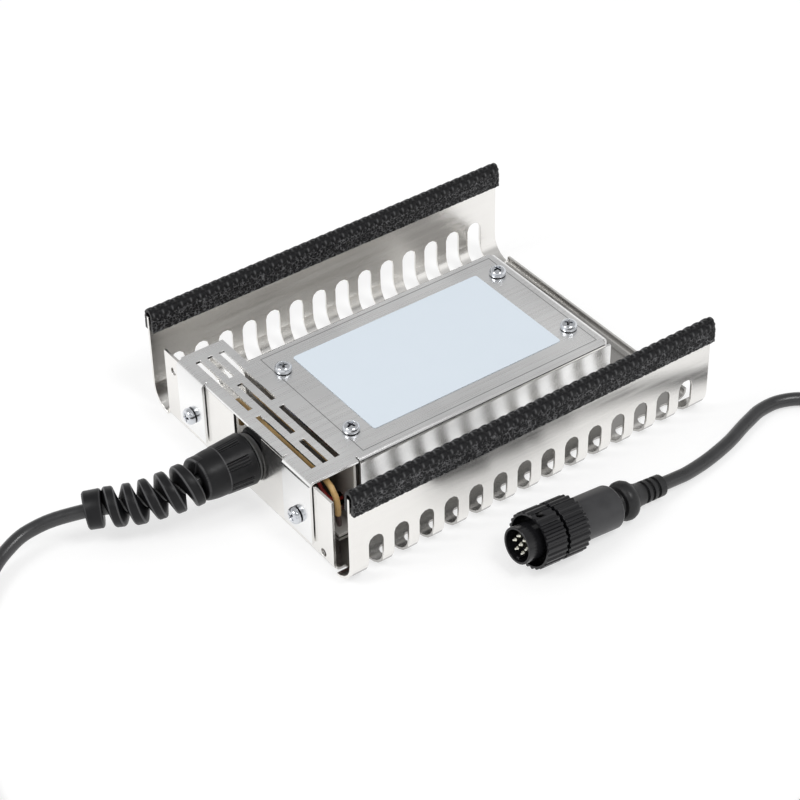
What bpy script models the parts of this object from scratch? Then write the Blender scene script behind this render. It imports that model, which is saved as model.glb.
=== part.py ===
"""Heating plate for warming circuit boards, lying with its label up as it is stored.

A bent steel tray carries a rubber edge trim on each side wall. Between the walls a bent cover
closes the heater box. A lead leaves the cover's slotted end through a gland with a spiral
strain relief, and ends in a round seven pin plug with a bayonet ring.

Frame: origin at the middle of the tray's flat base, on the surface that it lies on. +X runs
away from the lead, +Y towards the far wall, +Z up. All lengths are in metres.
"""
import math

import bmesh
import bpy
import numpy as np
from mathutils import Matrix, Vector
from mathutils.geometry import delaunay_2d_cdt

MM = 0.001
GAP = 0.3 * MM
QUARTER = math.pi / 2

# Tray: one folded sheet
TRAY_LENGTH = 150 * MM
TRAY_WIDTH = 120 * MM
TRAY_SHEET = 1.0 * MM
WALL_TOP = 37.6 * MM
WALL_BEND_INNER = 8 * MM
END_BEND_INNER = 2 * MM
END_FLAP_WIDTH = 100 * MM
END_FLAP_TOP = 29.4 * MM
END_LIP_TOP = 4 * MM
SLOT_COUNT = 14
SLOT_PITCH = 10 * MM
SLOT_WIDTH = 5.8 * MM
SLOT_TOP = 18.1 * MM
SLOT_INNER_END = 49 * MM
RELIEF_WIDTH = 1.5 * MM
RELIEF_DEPTH = 4.5 * MM
FLAP_HOLES = [(44.8 * MM, 23 * MM), (-44.3 * MM, 4.6 * MM)]
FLAP_HOLE_RADIUS = 1.5 * MM

# Rubber trims on the walls
TRIM_WIDTH = 5.2 * MM
TRIM_HEIGHT = 8.8 * MM
TRIM_CROWN = 2.5 * MM
TRIM_OVERHANG_LEFT = 0.7 * MM
TRIM_OVERHANG_RIGHT = 0.5 * MM
TRIM_END_ROUNDING = 0.9 * MM

# Cover: one folded sheet
COVER_TOP = 31 * MM
COVER_SHEET = 1.0 * MM
COVER_LEFT = -(TRAY_LENGTH / 2 + GAP + COVER_SHEET)
COVER_STEP = COVER_LEFT + 19.3 * MM
COVER_RIGHT = TRAY_LENGTH / 2 - 26.8 * MM
COVER_NEAR = -39.7 * MM
COVER_FAR = 26.8 * MM
EXTENSION_FAR = 40.8 * MM
EXTENSION_LEFT_EDGE = COVER_LEFT + COVER_SHEET
COVER_BEND_INNER = 1.0 * MM
EAR_BEND_INNER = 1.0 * MM
EAR_WIDTH = 16 * MM
EAR_BOTTOM = 5.5 * MM
EAR_CENTRES = [-31.7 * MM, 32 * MM]
EAR_SCREW_HEIGHT = 12.8 * MM
EAR_SLIT = 0.5 * MM
FLANGE_START = COVER_STEP + 0.7 * MM
CORNER_NOTCH = 0.3 * MM
VENT_WIDTH = 2 * MM
VENTS_IN_TWO = [(3.1 * MM, 35.4 * MM), (-33.7 * MM, -1.2 * MM)]
VENTS_IN_THREE = [(21.3 * MM, 35.4 * MM), (-15.25 * MM, 16.85 * MM), (-33.7 * MM, -19.65 * MM)]
VENT_ROWS = [
    (COVER_LEFT + 5.95 * MM, VENTS_IN_TWO),
    (COVER_LEFT + 10.5 * MM, VENTS_IN_THREE),
    (COVER_LEFT + 15.2 * MM, VENTS_IN_TWO),
]

# Screws, nuts and posts
SCREW_RADIUS = 1.45 * MM
SCREW_HEAD_RADIUS = 3 * MM
SCREW_HEAD_HEIGHT = 2.2 * MM
SCREW_RECESS = 1.2 * MM
SCREW_TIP = 0.5 * MM
RECESS_REACH = (2.3 * MM, 1.75 * MM, 0.7 * MM)
RECESS_HALF_SLOT = (0.38 * MM, 0.36 * MM, 0.3 * MM)
COVER_SCREW_LENGTH = 10 * MM
EAR_SCREW_LENGTH = 6.5 * MM
SCREW_COLUMNS = (COVER_STEP + 7 * MM, COVER_RIGHT - 7.2 * MM)
SCREW_ROWS = (-25.5 * MM, 14 * MM)
COVER_SCREWS = [(x, y) for x in SCREW_COLUMNS for y in SCREW_ROWS]
POST_RADIUS = 3.5 * MM
NUT_HALF_FLATS = 2.75 * MM
NUT_HEIGHT = 2.4 * MM
LUG_PLATE = 0.8 * MM
LUG_RING_RADIUS = 3.2 * MM
LUG_TONGUE_HALF = 1.5 * MM
LUG_REACH = 6.5 * MM
LUG_BARREL_RADIUS = 1.3 * MM
LUG_BARREL_BORE = 0.9 * MM
LUG_BARREL_LENGTH = 4 * MM

# Label
LABEL_X = (COVER_STEP + 13.3 * MM, COVER_RIGHT - 13.9 * MM)
LABEL_Y = (-29.75 * MM, 17.9 * MM)
LABEL_THICKNESS = 0.15 * MM
LABEL_GAP = 0.05 * MM
LABEL_CORNER = 1.0 * MM

# Heater stack, from the base up
STACK_X = (COVER_STEP + 2 * MM, COVER_RIGHT - 2.7 * MM)
STACK_Y = (-36.5 * MM, 23.5 * MM)
SPREADER_HEIGHT = 5 * MM
ELEMENT_X = (COVER_STEP + 6 * MM, COVER_RIGHT - 3.7 * MM)
ELEMENT_THICKNESS = 1.6 * MM
ELEMENT_TAB_LENGTH = 5 * MM
ELEMENT_TAB_WIDTH = 2.6 * MM
ELEMENT_TABS = [-32.2 * MM, -28.6 * MM]
BOARD_THICKNESS = 2 * MM
SENSOR_Y = -6 * MM
SENSOR_RADIUS = 1.5 * MM
SENSOR_LENGTH = 24 * MM
SENSOR_OUT = 1.6 * MM
SENSOR_TIP = 0.5 * MM

# End plate of the heater box
PLATE_SHEET = 1.0 * MM
PLATE_RIGHT = COVER_STEP - GAP
PLATE_NEAR = COVER_NEAR + COVER_SHEET + GAP
PLATE_FAR = COVER_FAR - COVER_SHEET - GAP
PLATE_FOOT = 6 * MM
PLATE_BEND_INNER = 0.6 * MM
PLATE_LEAD_HOLE = (-30.4 * MM, 8.2 * MM)
PLATE_LEAD_RADIUS = 3.6 * MM
PLATE_SENSOR_NOTCH = 5 * MM
PLATE_SENSOR_TOP = 7 * MM

# Gland in the end flap's open notch
GLAND_Y = -1.8 * MM
GLAND_Z = 16.5 * MM
NOTCH_RADIUS = 8.2 * MM
NECK_RADIUS = 7.9 * MM
GLAND_FLANGE_RADIUS = 8.7 * MM
GLAND_FLANGE = 0.7 * MM
GLAND_THREAD_RADIUS = 6.5 * MM
GLAND_INSIDE = 4.6 * MM
GLAND_OUTSIDE = 8 * MM
LOCK_NUT_HALF_FLATS = 8.25 * MM
LOCK_NUT_HEIGHT = 3.4 * MM
SEAL_RADIUS = 4.7 * MM
SEAL_LENGTH = 7 * MM
GRIP_RADII = (9.2 * MM, 8.55 * MM)
GRIP_LENGTH = 11 * MM
GRIP_PANELS = 8
GRIP_GROOVE = 0.5 * MM
DOME_LENGTH = 7.7 * MM
DOME_TIP_RADIUS = 7.9 * MM

# Spiral strain relief on the gland
SPIRAL_PITCH = 6 * MM
SPIRAL_TURNS = 5.75
SPIRAL_OUTER = (8.0 * MM, 6.8 * MM)
SPIRAL_INNER = 3.6 * MM
SPIRAL_ROOT_WIDTH = 5.3 * MM
SPIRAL_TIP_WIDTH = 2.7 * MM
SPIRAL_START = 1.6 * MM
SPIRAL_SOFT = 0.4 * MM
COLLAR_LENGTH = 5.9 * MM
COLLAR_RADIUS = 6.6 * MM
LINE_STEP = 0.5 * MM

# Cord, its coil and tie
CORD_RADIUS = 2.4 * MM
CORD_GAP = 0.3 * MM
COIL_CENTRE = (-165 * MM, -167 * MM)
COIL_MIDDLE_RADIUS = 26.5 * MM
TIE_THICKNESS = 1.0 * MM
TIE_WIDTH = 5 * MM
TIE_ANGLE = math.radians(50)

# Round plug, from the coupling ring's front face along its own axis
PLUG_FRONT = (-24.0 * MM, -86.2 * MM, 12.0 * MM)
PLUG_TAIL = (34.2 * MM, -84.5 * MM, 4.6 * MM)
INSERT_RADIUS = 6.35 * MM
INSERT_OUT = 5 * MM
INSERT_WALL = 0.8 * MM
INSERT_DEPTH = 5.5 * MM
KEY_HALF_WIDTH = 0.7 * MM
KEY_HEIGHT = 0.8 * MM
RING_RADIUS = 9.75 * MM
RING_BORE = 8.7 * MM
RING_LENGTH = 8.2 * MM
RING_WEB = 2.4 * MM
RING_TEETH = 26
WINDOW_HALF_WIDTH = 1.6 * MM
WINDOW_LENGTH = 2.8 * MM
TOOTH_DEPTH = 0.55 * MM
BAYONET_HEIGHT = 1.3 * MM
BAYONET_LENGTH = 2 * MM
BAYONET_HALF_WIDTH = 1.2 * MM
REAR_RING_START = 9.5 * MM
REAR_RING_END = 18 * MM
SLEEVE_END = 35.5 * MM
SLEEVE_RADIUS = 7.5 * MM
SLEEVE_BORE = 5 * MM
SLEEVE_ROUNDING = 1.2 * MM
BOOT_WAIST = (SLEEVE_END + 1.6 * MM, 4.1 * MM)
BULB_START = SLEEVE_END + 2.6 * MM
BULB_END = BULB_START + 5.4 * MM
BULB_RADIUS = 6.9 * MM
RELIEF_END = 57.4 * MM
RELIEF_RADII = (4.0 * MM, 3.8 * MM)
RELIEF_GROOVES = 3
RELIEF_PITCH = 2.6 * MM
RELIEF_GROOVE_WIDTH = 1.2 * MM
RELIEF_GROOVE_DEPTH = 0.9 * MM
PIN_RADIUS = 0.8 * MM
PIN_TIP = 0.9 * MM
PIN_SHORT = 1.2 * MM
PIN_PITCH = 3 * MM
PIN_ROW_PITCH = 2.6 * MM
PIN_ROWS = [(1, (-0.5, 0.5)), (0, (-1, 0, 1)), (-1, (-0.5, 0.5))]

# Where the lead and the wires lie, point by point, in millimetres, with the end flap at -75
ROUTE_FLAP = -75 * MM
FOLLOW_TO = -125 * MM
FOLLOW_NONE = -190 * MM
CORD_START_ROUTE = [
    (-68.2, -1.8, 16.5), (-82, -1.8, 16.5), (-95, -1.7, 16.4), (-102, -0.9, 15.7), (-109, 1.2, 14.5),
    (-116, 4, 13.4), (-122.9, 7.4, 12.9), (-131, 12.2, 12.1), (-139.3, 16.3, 10.7), (-148, 17.8, 8.8),
    (-157.2, 16.2, 6.7), (-166.2, 11.2, 4.8), (-174.7, 3, 3.4), (-182.5, -6.9, 2.6), (-194.2, -24, 2.4),
    (-201.5, -40, 2.4), (-208.2, -57, 2.4), (-212.1, -75, 2.4), (-211, -95, 2.4), (-205.8, -114, 2.4),
    (-199.8, -129, 2.7), (-196.9, -139, 3.4), (-196.3, -149, 3.7),
]
CORD_END_ROUTE = [
    (-183.3, -198.7, 4.1), (-172.5, -204, 2.8), (-160, -205.9, 2.4), (-142, -206.8, 2.4), (-115, -208, 2.4),
    (-82, -210.2, 2.4), (-52, -213, 2.4), (-24.2, -214.7, 2.4), (4, -200.6, 2.4), (36, -171.5, 2.4),
    (68, -142.5, 2.4), (86, -126.4, 2.4), (96.2, -117.4, 2.4), (104.6, -109, 2.4), (110, -99.6, 2.4),
    (110.9, -88.9, 2.4), (106.6, -79.9, 2.4), (98.9, -74.4, 2.4), (89.7, -73.2, 2.4), (81.2, -75.2, 2.4),
    (74.2, -77.8, 2.4), (66, -80.2, 2.4), (55.5, -82.6, 2.5), (46, -84, 3.2), (39.5, -84.35, 3.93),
    (33.22, -84.53, 4.73),
]
WIRES = {
    "core_red": (0.65, (0.45, 0.04, 0.03), [
        (-67.3, -2.7, 17.3), (-65.2, -5.6, 19.6), (-66.2, -11, 23.6), (-65.6, -17, 22.6),
        (-63.4, -23, 17), (-62.0, -27.4, 10.5), (-59.5, -28.6, 7.9), (-56.4, -28.6, 7.4),
    ]),
    "core_blue": (0.65, (0.03, 0.05, 0.35), [
        (-67.3, -1.0, 17.3), (-66.0, 3.5, 20), (-66.6, 8.5, 23.4), (-66.0, 13, 20.5),
        (-62.3, 10, 9.5), (-60.9, 2, 5.2), (-59.2, -4.2, 3.9), (-57.0, -5.2, 3.8),
    ]),
    "core_white": (0.65, (0.70, 0.70, 0.66), [
        (-67.3, -0.9, 15.7), (-64.6, -2.2, 13.4), (-61.2, -5.6, 7.6),
        (-60.0, -7.4, 4.6), (-57.0, -6.8, 3.8),
    ]),
    "core_earth": (0.65, (0.25, 0.35, 0.05), [
        (-67.3, -2.7, 15.7), (-65.8, -7.2, 13.2), (-67.2, -13, 12.2),
        (-71.6, -18.5, 12.7), (-72.7, -21.2, 12.8),
    ]),
    "heater_lead": (0.8, (0.05, 0.02, 0.02), [
        (-68.2, -43.3, 16.2), (-67.8, -42.9, 12.5), (-65.8, -40.4, 9.0), (-62.8, -35.4, 7.7),
        (-60, -32.6, 7.4), (-56.4, -32.2, 7.3),
    ]),
}
SLEEVE_WIRE_RADIUS = 1.05 * MM
SLEEVE_ROUTE = [
    (-63.2, 21.5, 9.5), (-64.0, 20.6, 16.5), (-66.4, 17.6, 23.6), (-67.6, 10, 26.4), (-67.8, -4, 26.9),
    (-67.8, -16, 26.8), (-67.9, -27, 26.9), (-68.1, -35, 27.1), (-68.4, -40.4, 26.2), (-68.3, -43.0, 22.6),
    (-68.2, -43.4, 16.6),
]


def principled(name, colour, roughness, metallic=0.0):
    """A plain surface of one colour."""
    made = bpy.data.materials.new(name)
    made.use_nodes = True
    shader = made.node_tree.nodes["Principled BSDF"]
    shader.inputs["Base Color"].default_value = (*colour, 1)
    shader.inputs["Roughness"].default_value = roughness
    shader.inputs["Metallic"].default_value = metallic
    return made


def place(name, mesh, look, matrix=None, parent=None):
    """Links a mesh or curve as an object, smooth shaded, with its own material."""
    made = bpy.data.objects.new(name, mesh)
    if look:
        mesh.materials.clear()
        mesh.materials.append(look)
    bpy.context.scene.collection.objects.link(made)
    made.parent = parent
    if matrix is not None:
        made.matrix_local = matrix
    return made


def mesh_from(name, points, faces):
    """Closed mesh with its faces pointing out."""
    made = bpy.data.meshes.new(name)
    made.from_pydata([tuple(map(float, p)) for p in points], [], [tuple(map(int, f)) for f in faces])
    work = bmesh.new()
    work.from_mesh(made)
    bmesh.ops.recalc_face_normals(work, faces=work.faces)
    work.to_mesh(made)
    work.free()
    made.shade_smooth()
    made.set_sharp_from_angle(angle=math.radians(30))
    return made


def circle(radius, centre=(0, 0), steps=24, start=0.0, sweep=2 * math.pi):
    """Points round a circle or along an arc, whose last point is left out on a full turn."""
    full = abs(sweep) > 2 * math.pi - 1e-9
    angles = start + sweep * np.arange(steps + (0 if full else 1)) / steps
    return [(centre[0] + radius * math.cos(a), centre[1] + radius * math.sin(a)) for a in angles]


def rectangle(x, y):
    return [(x[0], y[0]), (x[1], y[0]), (x[1], y[1]), (x[0], y[1])]


def rounded_rectangle(x, y, radius, steps=4):
    corners = [(x[1], y[1], 0), (x[0], y[1], 1), (x[0], y[0], 2), (x[1], y[0], 3)]
    points = []
    for cx, cy, turn in corners:
        inwards = (cx - math.copysign(radius, cx - sum(x) / 2), cy - math.copysign(radius, cy - sum(y) / 2))
        points += circle(radius, inwards, steps, turn * QUARTER, QUARTER)
    return points


def inside(points, loop):
    """Which points lie inside a closed loop, by counting the sides crossed to one side of them."""
    points, a = np.asarray(points), np.asarray(loop)
    b = np.roll(a, -1, axis=0)
    x, y = points[:, :1], points[:, 1:]
    spans = (a[:, 1] > y) != (b[:, 1] > y)
    rise = np.where(b[:, 1] == a[:, 1], 1.0, b[:, 1] - a[:, 1])
    crossing = a[:, 0] + (y - a[:, 1]) * (b[:, 0] - a[:, 0]) / rise
    return (spans & (x < crossing)).sum(1) % 2 == 1


def triangulated(outline, holes, creases=()):
    """Flat triangles between an outline and its holes, none of which crosses a crease line."""
    points, edges = [], []
    for loop in [outline, *holes]:
        first = len(points)
        points += [Vector(p) for p in loop]
        edges += [(first + i, first + (i + 1) % len(loop)) for i in range(len(loop))]
    for ends in creases:
        edges.append((len(points), len(points) + 1))
        points += [Vector(p) for p in ends]
    flat, _, faces, _, _, _ = delaunay_2d_cdt(points, edges, [], 0, 1e-9)
    flat = np.array([tuple(p) for p in flat])
    faces = np.array([f for f in faces if len(f) == 3])
    middles = flat[faces].mean(axis=1)
    keep = inside(middles, outline)
    for hole in holes:
        keep &= ~inside(middles, hole)
    a, b, c = (flat[faces[:, k]] for k in range(3))
    area = (b[:, 0] - a[:, 0]) * (c[:, 1] - a[:, 1]) - (b[:, 1] - a[:, 1]) * (c[:, 0] - a[:, 0])
    keep &= np.abs(area) > 1e-16
    faces = faces[keep]
    used, faces = np.unique(faces, return_inverse=True)
    return flat[used], faces.reshape(-1, 3)


def sheet(outline, holes, thickness, shape, creases=()):
    """Plate cut to a blank and folded: shape gives the place in space of flat points at a height."""
    flat, faces = triangulated(outline, holes, creases)
    count = len(flat)
    below = shape(flat, 0.0)
    above = shape(flat, thickness)
    sides = {}
    for face in faces:
        for k in range(3):
            sides[(face[k], face[(k + 1) % 3])] = True
    rim = [(a, b) for a, b in sides if (b, a) not in sides]
    quads = [(a, b, b + count, a + count) for a, b in rim]
    turned_over = [tuple(f[::-1]) for f in faces]
    upper = [tuple(f + count) for f in faces]
    return np.vstack([below, above]), turned_over + upper + quads


def bend(distance, height, start, inner_radius, thickness, angle=QUARTER):
    """Distance along and height above a sheet that turns up past start, by the neutral fibre."""
    neutral = inner_radius + thickness / 2
    turn = np.clip((distance - start) / neutral, 0, angle)
    rest = np.maximum(distance - start - neutral * angle, 0)
    radius = inner_radius + thickness - height
    along = np.minimum(distance, start) + radius * np.sin(turn) + rest * np.cos(turn)
    up = inner_radius + thickness - radius * np.cos(turn) + rest * np.sin(turn)
    return along, up


def flat_length(start, inner_radius, thickness, up):
    """Where on the blank a point lies that ends at a height on a leg folded up square."""
    return start + (inner_radius + thickness / 2) * QUARTER + up - inner_radius - thickness


def crease_positions(start, inner_radius, thickness, steps):
    return [start + (inner_radius + thickness / 2) * QUARTER * k / steps for k in range(steps + 1)]


def lofted(sections):
    """Solid through loops of equally many points, closed flat at both ends."""
    sections = np.asarray(sections, float)
    rows, count = sections.shape[:2]
    faces = [
        (r * count + i, r * count + (i + 1) % count, (r + 1) * count + (i + 1) % count, (r + 1) * count + i)
        for r in range(rows - 1)
        for i in range(count)
    ]
    faces += [tuple(range(count)), tuple((rows - 1) * count + i for i in range(count))[::-1]]
    return sections.reshape(-1, 3), faces


def turned(profile, steps=32, ripple=None):
    """Solid turned about +X from (distance along, radius) pairs that follow its section.

    A profile whose ends lie on the axis closes there; any other is a ring's closed section.
    ripple gives a change of radius for a distance, a radius and the angles round the axis.
    """
    profile = np.asarray(profile, float)
    solid = profile[0, 1] < 1e-9
    angles = 2 * math.pi * np.arange(steps) / steps
    body = profile[1:-1] if solid else profile
    radii = np.repeat(body[:, 1:], steps, axis=1)
    if ripple:
        radii = radii + np.array([ripple(a, r, angles) for a, r in body])
    along = np.repeat(body[:, :1], steps, axis=1)
    grid = np.stack([along, radii * np.cos(angles), radii * np.sin(angles)], axis=-1)
    rows = len(body)
    faces = []
    for r in range(rows - 1 if solid else rows):
        for i in range(steps):
            j, q = (i + 1) % steps, (r + 1) % rows
            faces.append((r * steps + i, r * steps + j, q * steps + j, q * steps + i))
    points = grid.reshape(-1, 3)
    if solid:
        points = np.vstack([points, [[profile[0, 0], 0, 0], [profile[-1, 0], 0, 0]]])
        first, last, rim = rows * steps, rows * steps + 1, (rows - 1) * steps
        faces += [(first, (i + 1) % steps, i) for i in range(steps)]
        faces += [(last, rim + i, rim + (i + 1) % steps) for i in range(steps)]
    return points, faces


def cutter(name, points, faces, parent=None, matrix=None):
    """A hidden shape that a Boolean takes away from or joins to a piece."""
    made = place(name, mesh_from(name, points, faces), None, matrix, parent)
    made.hide_render = True
    made.display_type = "WIRE"
    return made


def boolean(piece, tool, operation="DIFFERENCE"):
    step = piece.modifiers.new(tool.name, "BOOLEAN")
    step.operation = operation
    step.solver = "EXACT"
    step.object = tool


def upright(seat, axis="Z"):
    """Matrix that stands what is turned about +X along another axis, at a place."""
    turns = {"Z": Matrix.Rotation(-QUARTER, 4, "Y"), "-X": Matrix.Rotation(math.pi, 4, "Z")}
    return Matrix.Translation(seat) @ turns[axis]


def smooth_curve(route, spacing):
    """Points along the natural cubic curve through a route, measured by chord, evenly spaced."""
    knots = np.asarray(route, float)
    chord = np.linalg.norm(np.diff(knots, axis=0), axis=1)
    at = np.concatenate([[0], np.cumsum(chord)])
    count = len(knots)
    system = np.zeros((count, count))
    right = np.zeros((count, 3))
    system[0, 0] = system[-1, -1] = 1
    for i in range(1, count - 1):
        system[i, i - 1:i + 2] = chord[i - 1], 2 * (chord[i - 1] + chord[i]), chord[i]
        right[i] = 6 * ((knots[i + 1] - knots[i]) / chord[i] - (knots[i] - knots[i - 1]) / chord[i - 1])
    bends = np.linalg.solve(system, right)
    fine = np.linspace(0, at[-1], 40 * count)
    k = np.clip(np.searchsorted(at, fine, side="right") - 1, 0, count - 2)
    width, before, after = chord[k][:, None], (at[k + 1] - fine)[:, None], (fine - at[k])[:, None]
    line = (
        bends[k] * before ** 3 + bends[k + 1] * after ** 3
    ) / (6 * width) + (knots[k] / width - bends[k] * width / 6) * before
    line += (knots[k + 1] / width - bends[k + 1] * width / 6) * after
    walked = np.concatenate([[0], np.cumsum(np.linalg.norm(np.diff(line, axis=0), axis=1))])
    steps = max(2, int(round(walked[-1] / spacing)))
    even = np.linspace(0, walked[-1], steps + 1)
    return np.stack([np.interp(even, walked, line[:, c]) for c in range(3)], axis=1)


def tube(name, line, radius, look, resolution=2):
    """Round cord or wire along a line of points, with flat ends."""
    curve = bpy.data.curves.new(name, "CURVE")
    curve.dimensions = "3D"
    curve.bevel_depth = radius
    curve.bevel_resolution = resolution
    curve.use_fill_caps = True
    spline = curve.splines.new("POLY")
    spline.points.add(len(line) - 1)
    spline.points.foreach_set("co", np.hstack([line, np.ones((len(line), 1))]).astype(np.float32).ravel())
    spline.use_smooth = True
    return place(name, curve, look)


def follow_flap(route):
    """Route in metres, moved with the end flap near it, which wears off towards the coil."""
    points = np.array(route) * MM
    near = np.clip((points[:, 0] - FOLLOW_NONE) / (FOLLOW_TO - FOLLOW_NONE), 0, 1)
    points[:, 0] += near * (FLAP_OUTER - ROUTE_FLAP)
    return points


for leftover in list(bpy.data.objects):
    bpy.data.objects.remove(leftover, do_unlink=True)

STEEL = principled("steel_sheet", (0.66, 0.65, 0.63), 0.28, 1.0)
BRUSHED = principled("brushed_cover", (0.60, 0.60, 0.59), 0.38, 1.0)
ZINC = principled("zinc_screw", (0.72, 0.74, 0.76), 0.25, 1.0)
RUBBER = principled("rubber_trim", (0.025, 0.025, 0.027), 0.75)
NYLON = principled("black_nylon", (0.02, 0.02, 0.022), 0.42)
CORD_BLACK = principled("cord_jacket", (0.03, 0.03, 0.032), 0.45)
LABEL_WHITE = principled("label_film", (0.80, 0.83, 0.90), 0.35)
ALUMINIUM = principled("spreader_aluminium", (0.75, 0.75, 0.76), 0.35, 1.0)
MICA = principled("mica_element", (0.45, 0.38, 0.28), 0.5)
FIBRE = principled("insulation_fibre", (0.78, 0.76, 0.70), 0.95)
TAN_SLEEVE = principled("glass_fibre_sleeve", (0.62, 0.42, 0.20), 0.7)
PIN_METAL = principled("pin_metal", (0.80, 0.78, 0.66), 0.2, 1.0)

FLAP_OUTER = -TRAY_LENGTH / 2
WALL_OUTER = TRAY_WIDTH / 2
WALL_BEND_START = WALL_OUTER - WALL_BEND_INNER - TRAY_SHEET
END_BEND_START = TRAY_LENGTH / 2 - END_BEND_INNER - TRAY_SHEET
BOX_FLOOR = TRAY_SHEET + GAP


def tray_shape(flat, height):
    """Folds the blank: the side walls up past their bends, the end flap and lip up past theirs."""
    x, y = flat[:, 0], flat[:, 1]
    across, wall_up = bend(np.abs(y), height, WALL_BEND_START, WALL_BEND_INNER, TRAY_SHEET)
    ends = np.abs(y) <= END_FLAP_WIDTH / 2 + 1e-7
    along, end_up = bend(np.abs(x), height, END_BEND_START, END_BEND_INNER, TRAY_SHEET)
    along = np.where(ends, along, np.abs(x))
    end_up = np.where(ends, end_up, height)
    return np.stack([np.sign(x) * along, np.sign(y) * across, wall_up + end_up - height], axis=1)


def wall_flat(z):
    return flat_length(WALL_BEND_START, WALL_BEND_INNER, TRAY_SHEET, z)


def end_flat(z):
    return flat_length(END_BEND_START, END_BEND_INNER, TRAY_SHEET, z)


def wall_slots():
    """Round ended slots down each wall, through the bend and into the base."""
    radius = SLOT_WIDTH / 2
    near_end, far_end = SLOT_INNER_END + radius, wall_flat(SLOT_TOP) - radius
    slots = []
    for side in (-1, 1):
        for i in range(SLOT_COUNT):
            x = (i - (SLOT_COUNT - 1) / 2) * SLOT_PITCH
            slot = circle(radius, (x, far_end), 5, 0, math.pi)
            slot += circle(radius, (x, near_end), 5, math.pi, math.pi)
            slots.append([(px, side * py) for px, py in slot])
    return slots


def tray():
    half, flap, relief = TRAY_LENGTH / 2, END_FLAP_WIDTH / 2, END_FLAP_WIDTH / 2 + RELIEF_WIDTH
    wall, notch_x = wall_flat(WALL_TOP), half - RELIEF_DEPTH
    flap_top, lip_top = end_flat(END_FLAP_TOP), end_flat(END_LIP_TOP)
    gland_flat = end_flat(GLAND_Z)
    notch = circle(NOTCH_RADIUS, (-gland_flat, GLAND_Y), 12, -QUARTER, math.pi)
    outline = [(-flap_top, GLAND_Y - NOTCH_RADIUS), *notch, (-flap_top, GLAND_Y + NOTCH_RADIUS)]
    outline += [(-flap_top, flap), (-notch_x, flap), (-notch_x, relief), (-half, relief), (-half, wall)]
    outline += [(half, wall), (half, relief), (notch_x, relief), (notch_x, flap), (lip_top, flap)]
    outline += [(lip_top, -flap), (notch_x, -flap), (notch_x, -relief), (half, -relief), (half, -wall)]
    outline += [(-half, -wall), (-half, -relief), (-notch_x, -relief), (-notch_x, -flap)]
    outline += [(-flap_top, -flap)]
    holes = wall_slots()
    holes += [circle(FLAP_HOLE_RADIUS, (-end_flat(z), y), 12) for y, z in FLAP_HOLES]
    holes += [circle(SCREW_RADIUS + GAP, (-end_flat(EAR_SCREW_HEIGHT), y), 12) for y in EAR_CENTRES]
    creases = []
    for y in crease_positions(WALL_BEND_START, WALL_BEND_INNER, TRAY_SHEET, 5):
        creases += [((-half, y), (half, y)), ((-half, -y), (half, -y))]
    for x in crease_positions(END_BEND_START, END_BEND_INNER, TRAY_SHEET, 4):
        creases += [((-x, -flap), (-x, flap)), ((x, -flap), (x, flap))]
    points, faces = sheet(outline, holes, TRAY_SHEET, tray_shape, creases)
    place("tray", mesh_from("tray", points, faces), STEEL)


def trim_outline(shrink):
    """Section of the trim in (across, up from its lower edge): a round crown over a slot."""
    half, slot = TRIM_WIDTH / 2 - shrink, TRAY_SHEET / 2 + GAP
    top = TRIM_HEIGHT - shrink
    crown = circle(half, (0, top - half), 10, 0, math.pi)
    slot_top = TRIM_HEIGHT - TRIM_CROWN
    return [(slot, 0), (half, 0), *crown, (-half, 0), (-slot, 0), (-slot, slot_top), (slot, slot_top)]


def trims():
    bottom = WALL_TOP + GAP - (TRIM_HEIGHT - TRIM_CROWN)
    middle = WALL_OUTER - TRAY_SHEET / 2
    left = -TRAY_LENGTH / 2 - TRIM_OVERHANG_LEFT
    right = TRAY_LENGTH / 2 + TRIM_OVERHANG_RIGHT
    stations = [(left, 0), (right - TRIM_END_ROUNDING, 0), (right, TRIM_END_ROUNDING)]
    sections = [[(x, y, bottom + z) for y, z in trim_outline(shrink)] for x, shrink in stations]
    mesh = mesh_from("trim", *lofted(sections))
    for name, side in (("trim_near", -1), ("trim_far", 1)):
        place(name, mesh, RUBBER, Matrix.Translation((0, side * middle, 0)))


COVER_BEND = COVER_BEND_INNER + COVER_SHEET
EAR_BEND = EAR_BEND_INNER + COVER_SHEET
EAR_START = -COVER_LEFT - EAR_BEND


def ear_ranges():
    return [
        (max(c - EAR_WIDTH / 2, COVER_NEAR), min(c + EAR_WIDTH / 2, EXTENSION_FAR))
        for c in EAR_CENTRES
    ]


def cover_shape(flat, height):
    """Folds the blank down: ears at the left, flanges near, far and right."""
    x, y = flat[:, 0], flat[:, 1]
    on_ear = np.zeros(len(flat), bool)
    for low, high in ear_ranges():
        on_ear |= (y > low - 1e-7) & (y < high + 1e-7)
    left, ear_down = bend(-x, height, EAR_START, EAR_BEND_INNER, COVER_SHEET)
    right, right_down = bend(x, height, COVER_RIGHT - COVER_BEND, COVER_BEND_INNER, COVER_SHEET)
    end = (y > COVER_NEAR + COVER_BEND) & (y < COVER_FAR - COVER_BEND)
    box = x > COVER_STEP + 1e-7
    near, near_down = bend(-y, height, -COVER_NEAR - COVER_BEND, COVER_BEND_INNER, COVER_SHEET)
    far, far_down = bend(y, height, COVER_FAR - COVER_BEND, COVER_BEND_INNER, COVER_SHEET)
    new_x = np.where(x < 0, np.where(on_ear, -left, x), np.where(end, right, x))
    new_y = np.where(box, np.where(y < 0, -near, far), y)
    down = height + np.where(on_ear & (x < 0), ear_down - height, 0) + np.where(end, right_down - height, 0)
    down = down + np.where(box, near_down + far_down - 2 * height, 0)
    return np.stack([new_x, new_y, COVER_TOP - down], axis=1)


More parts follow.
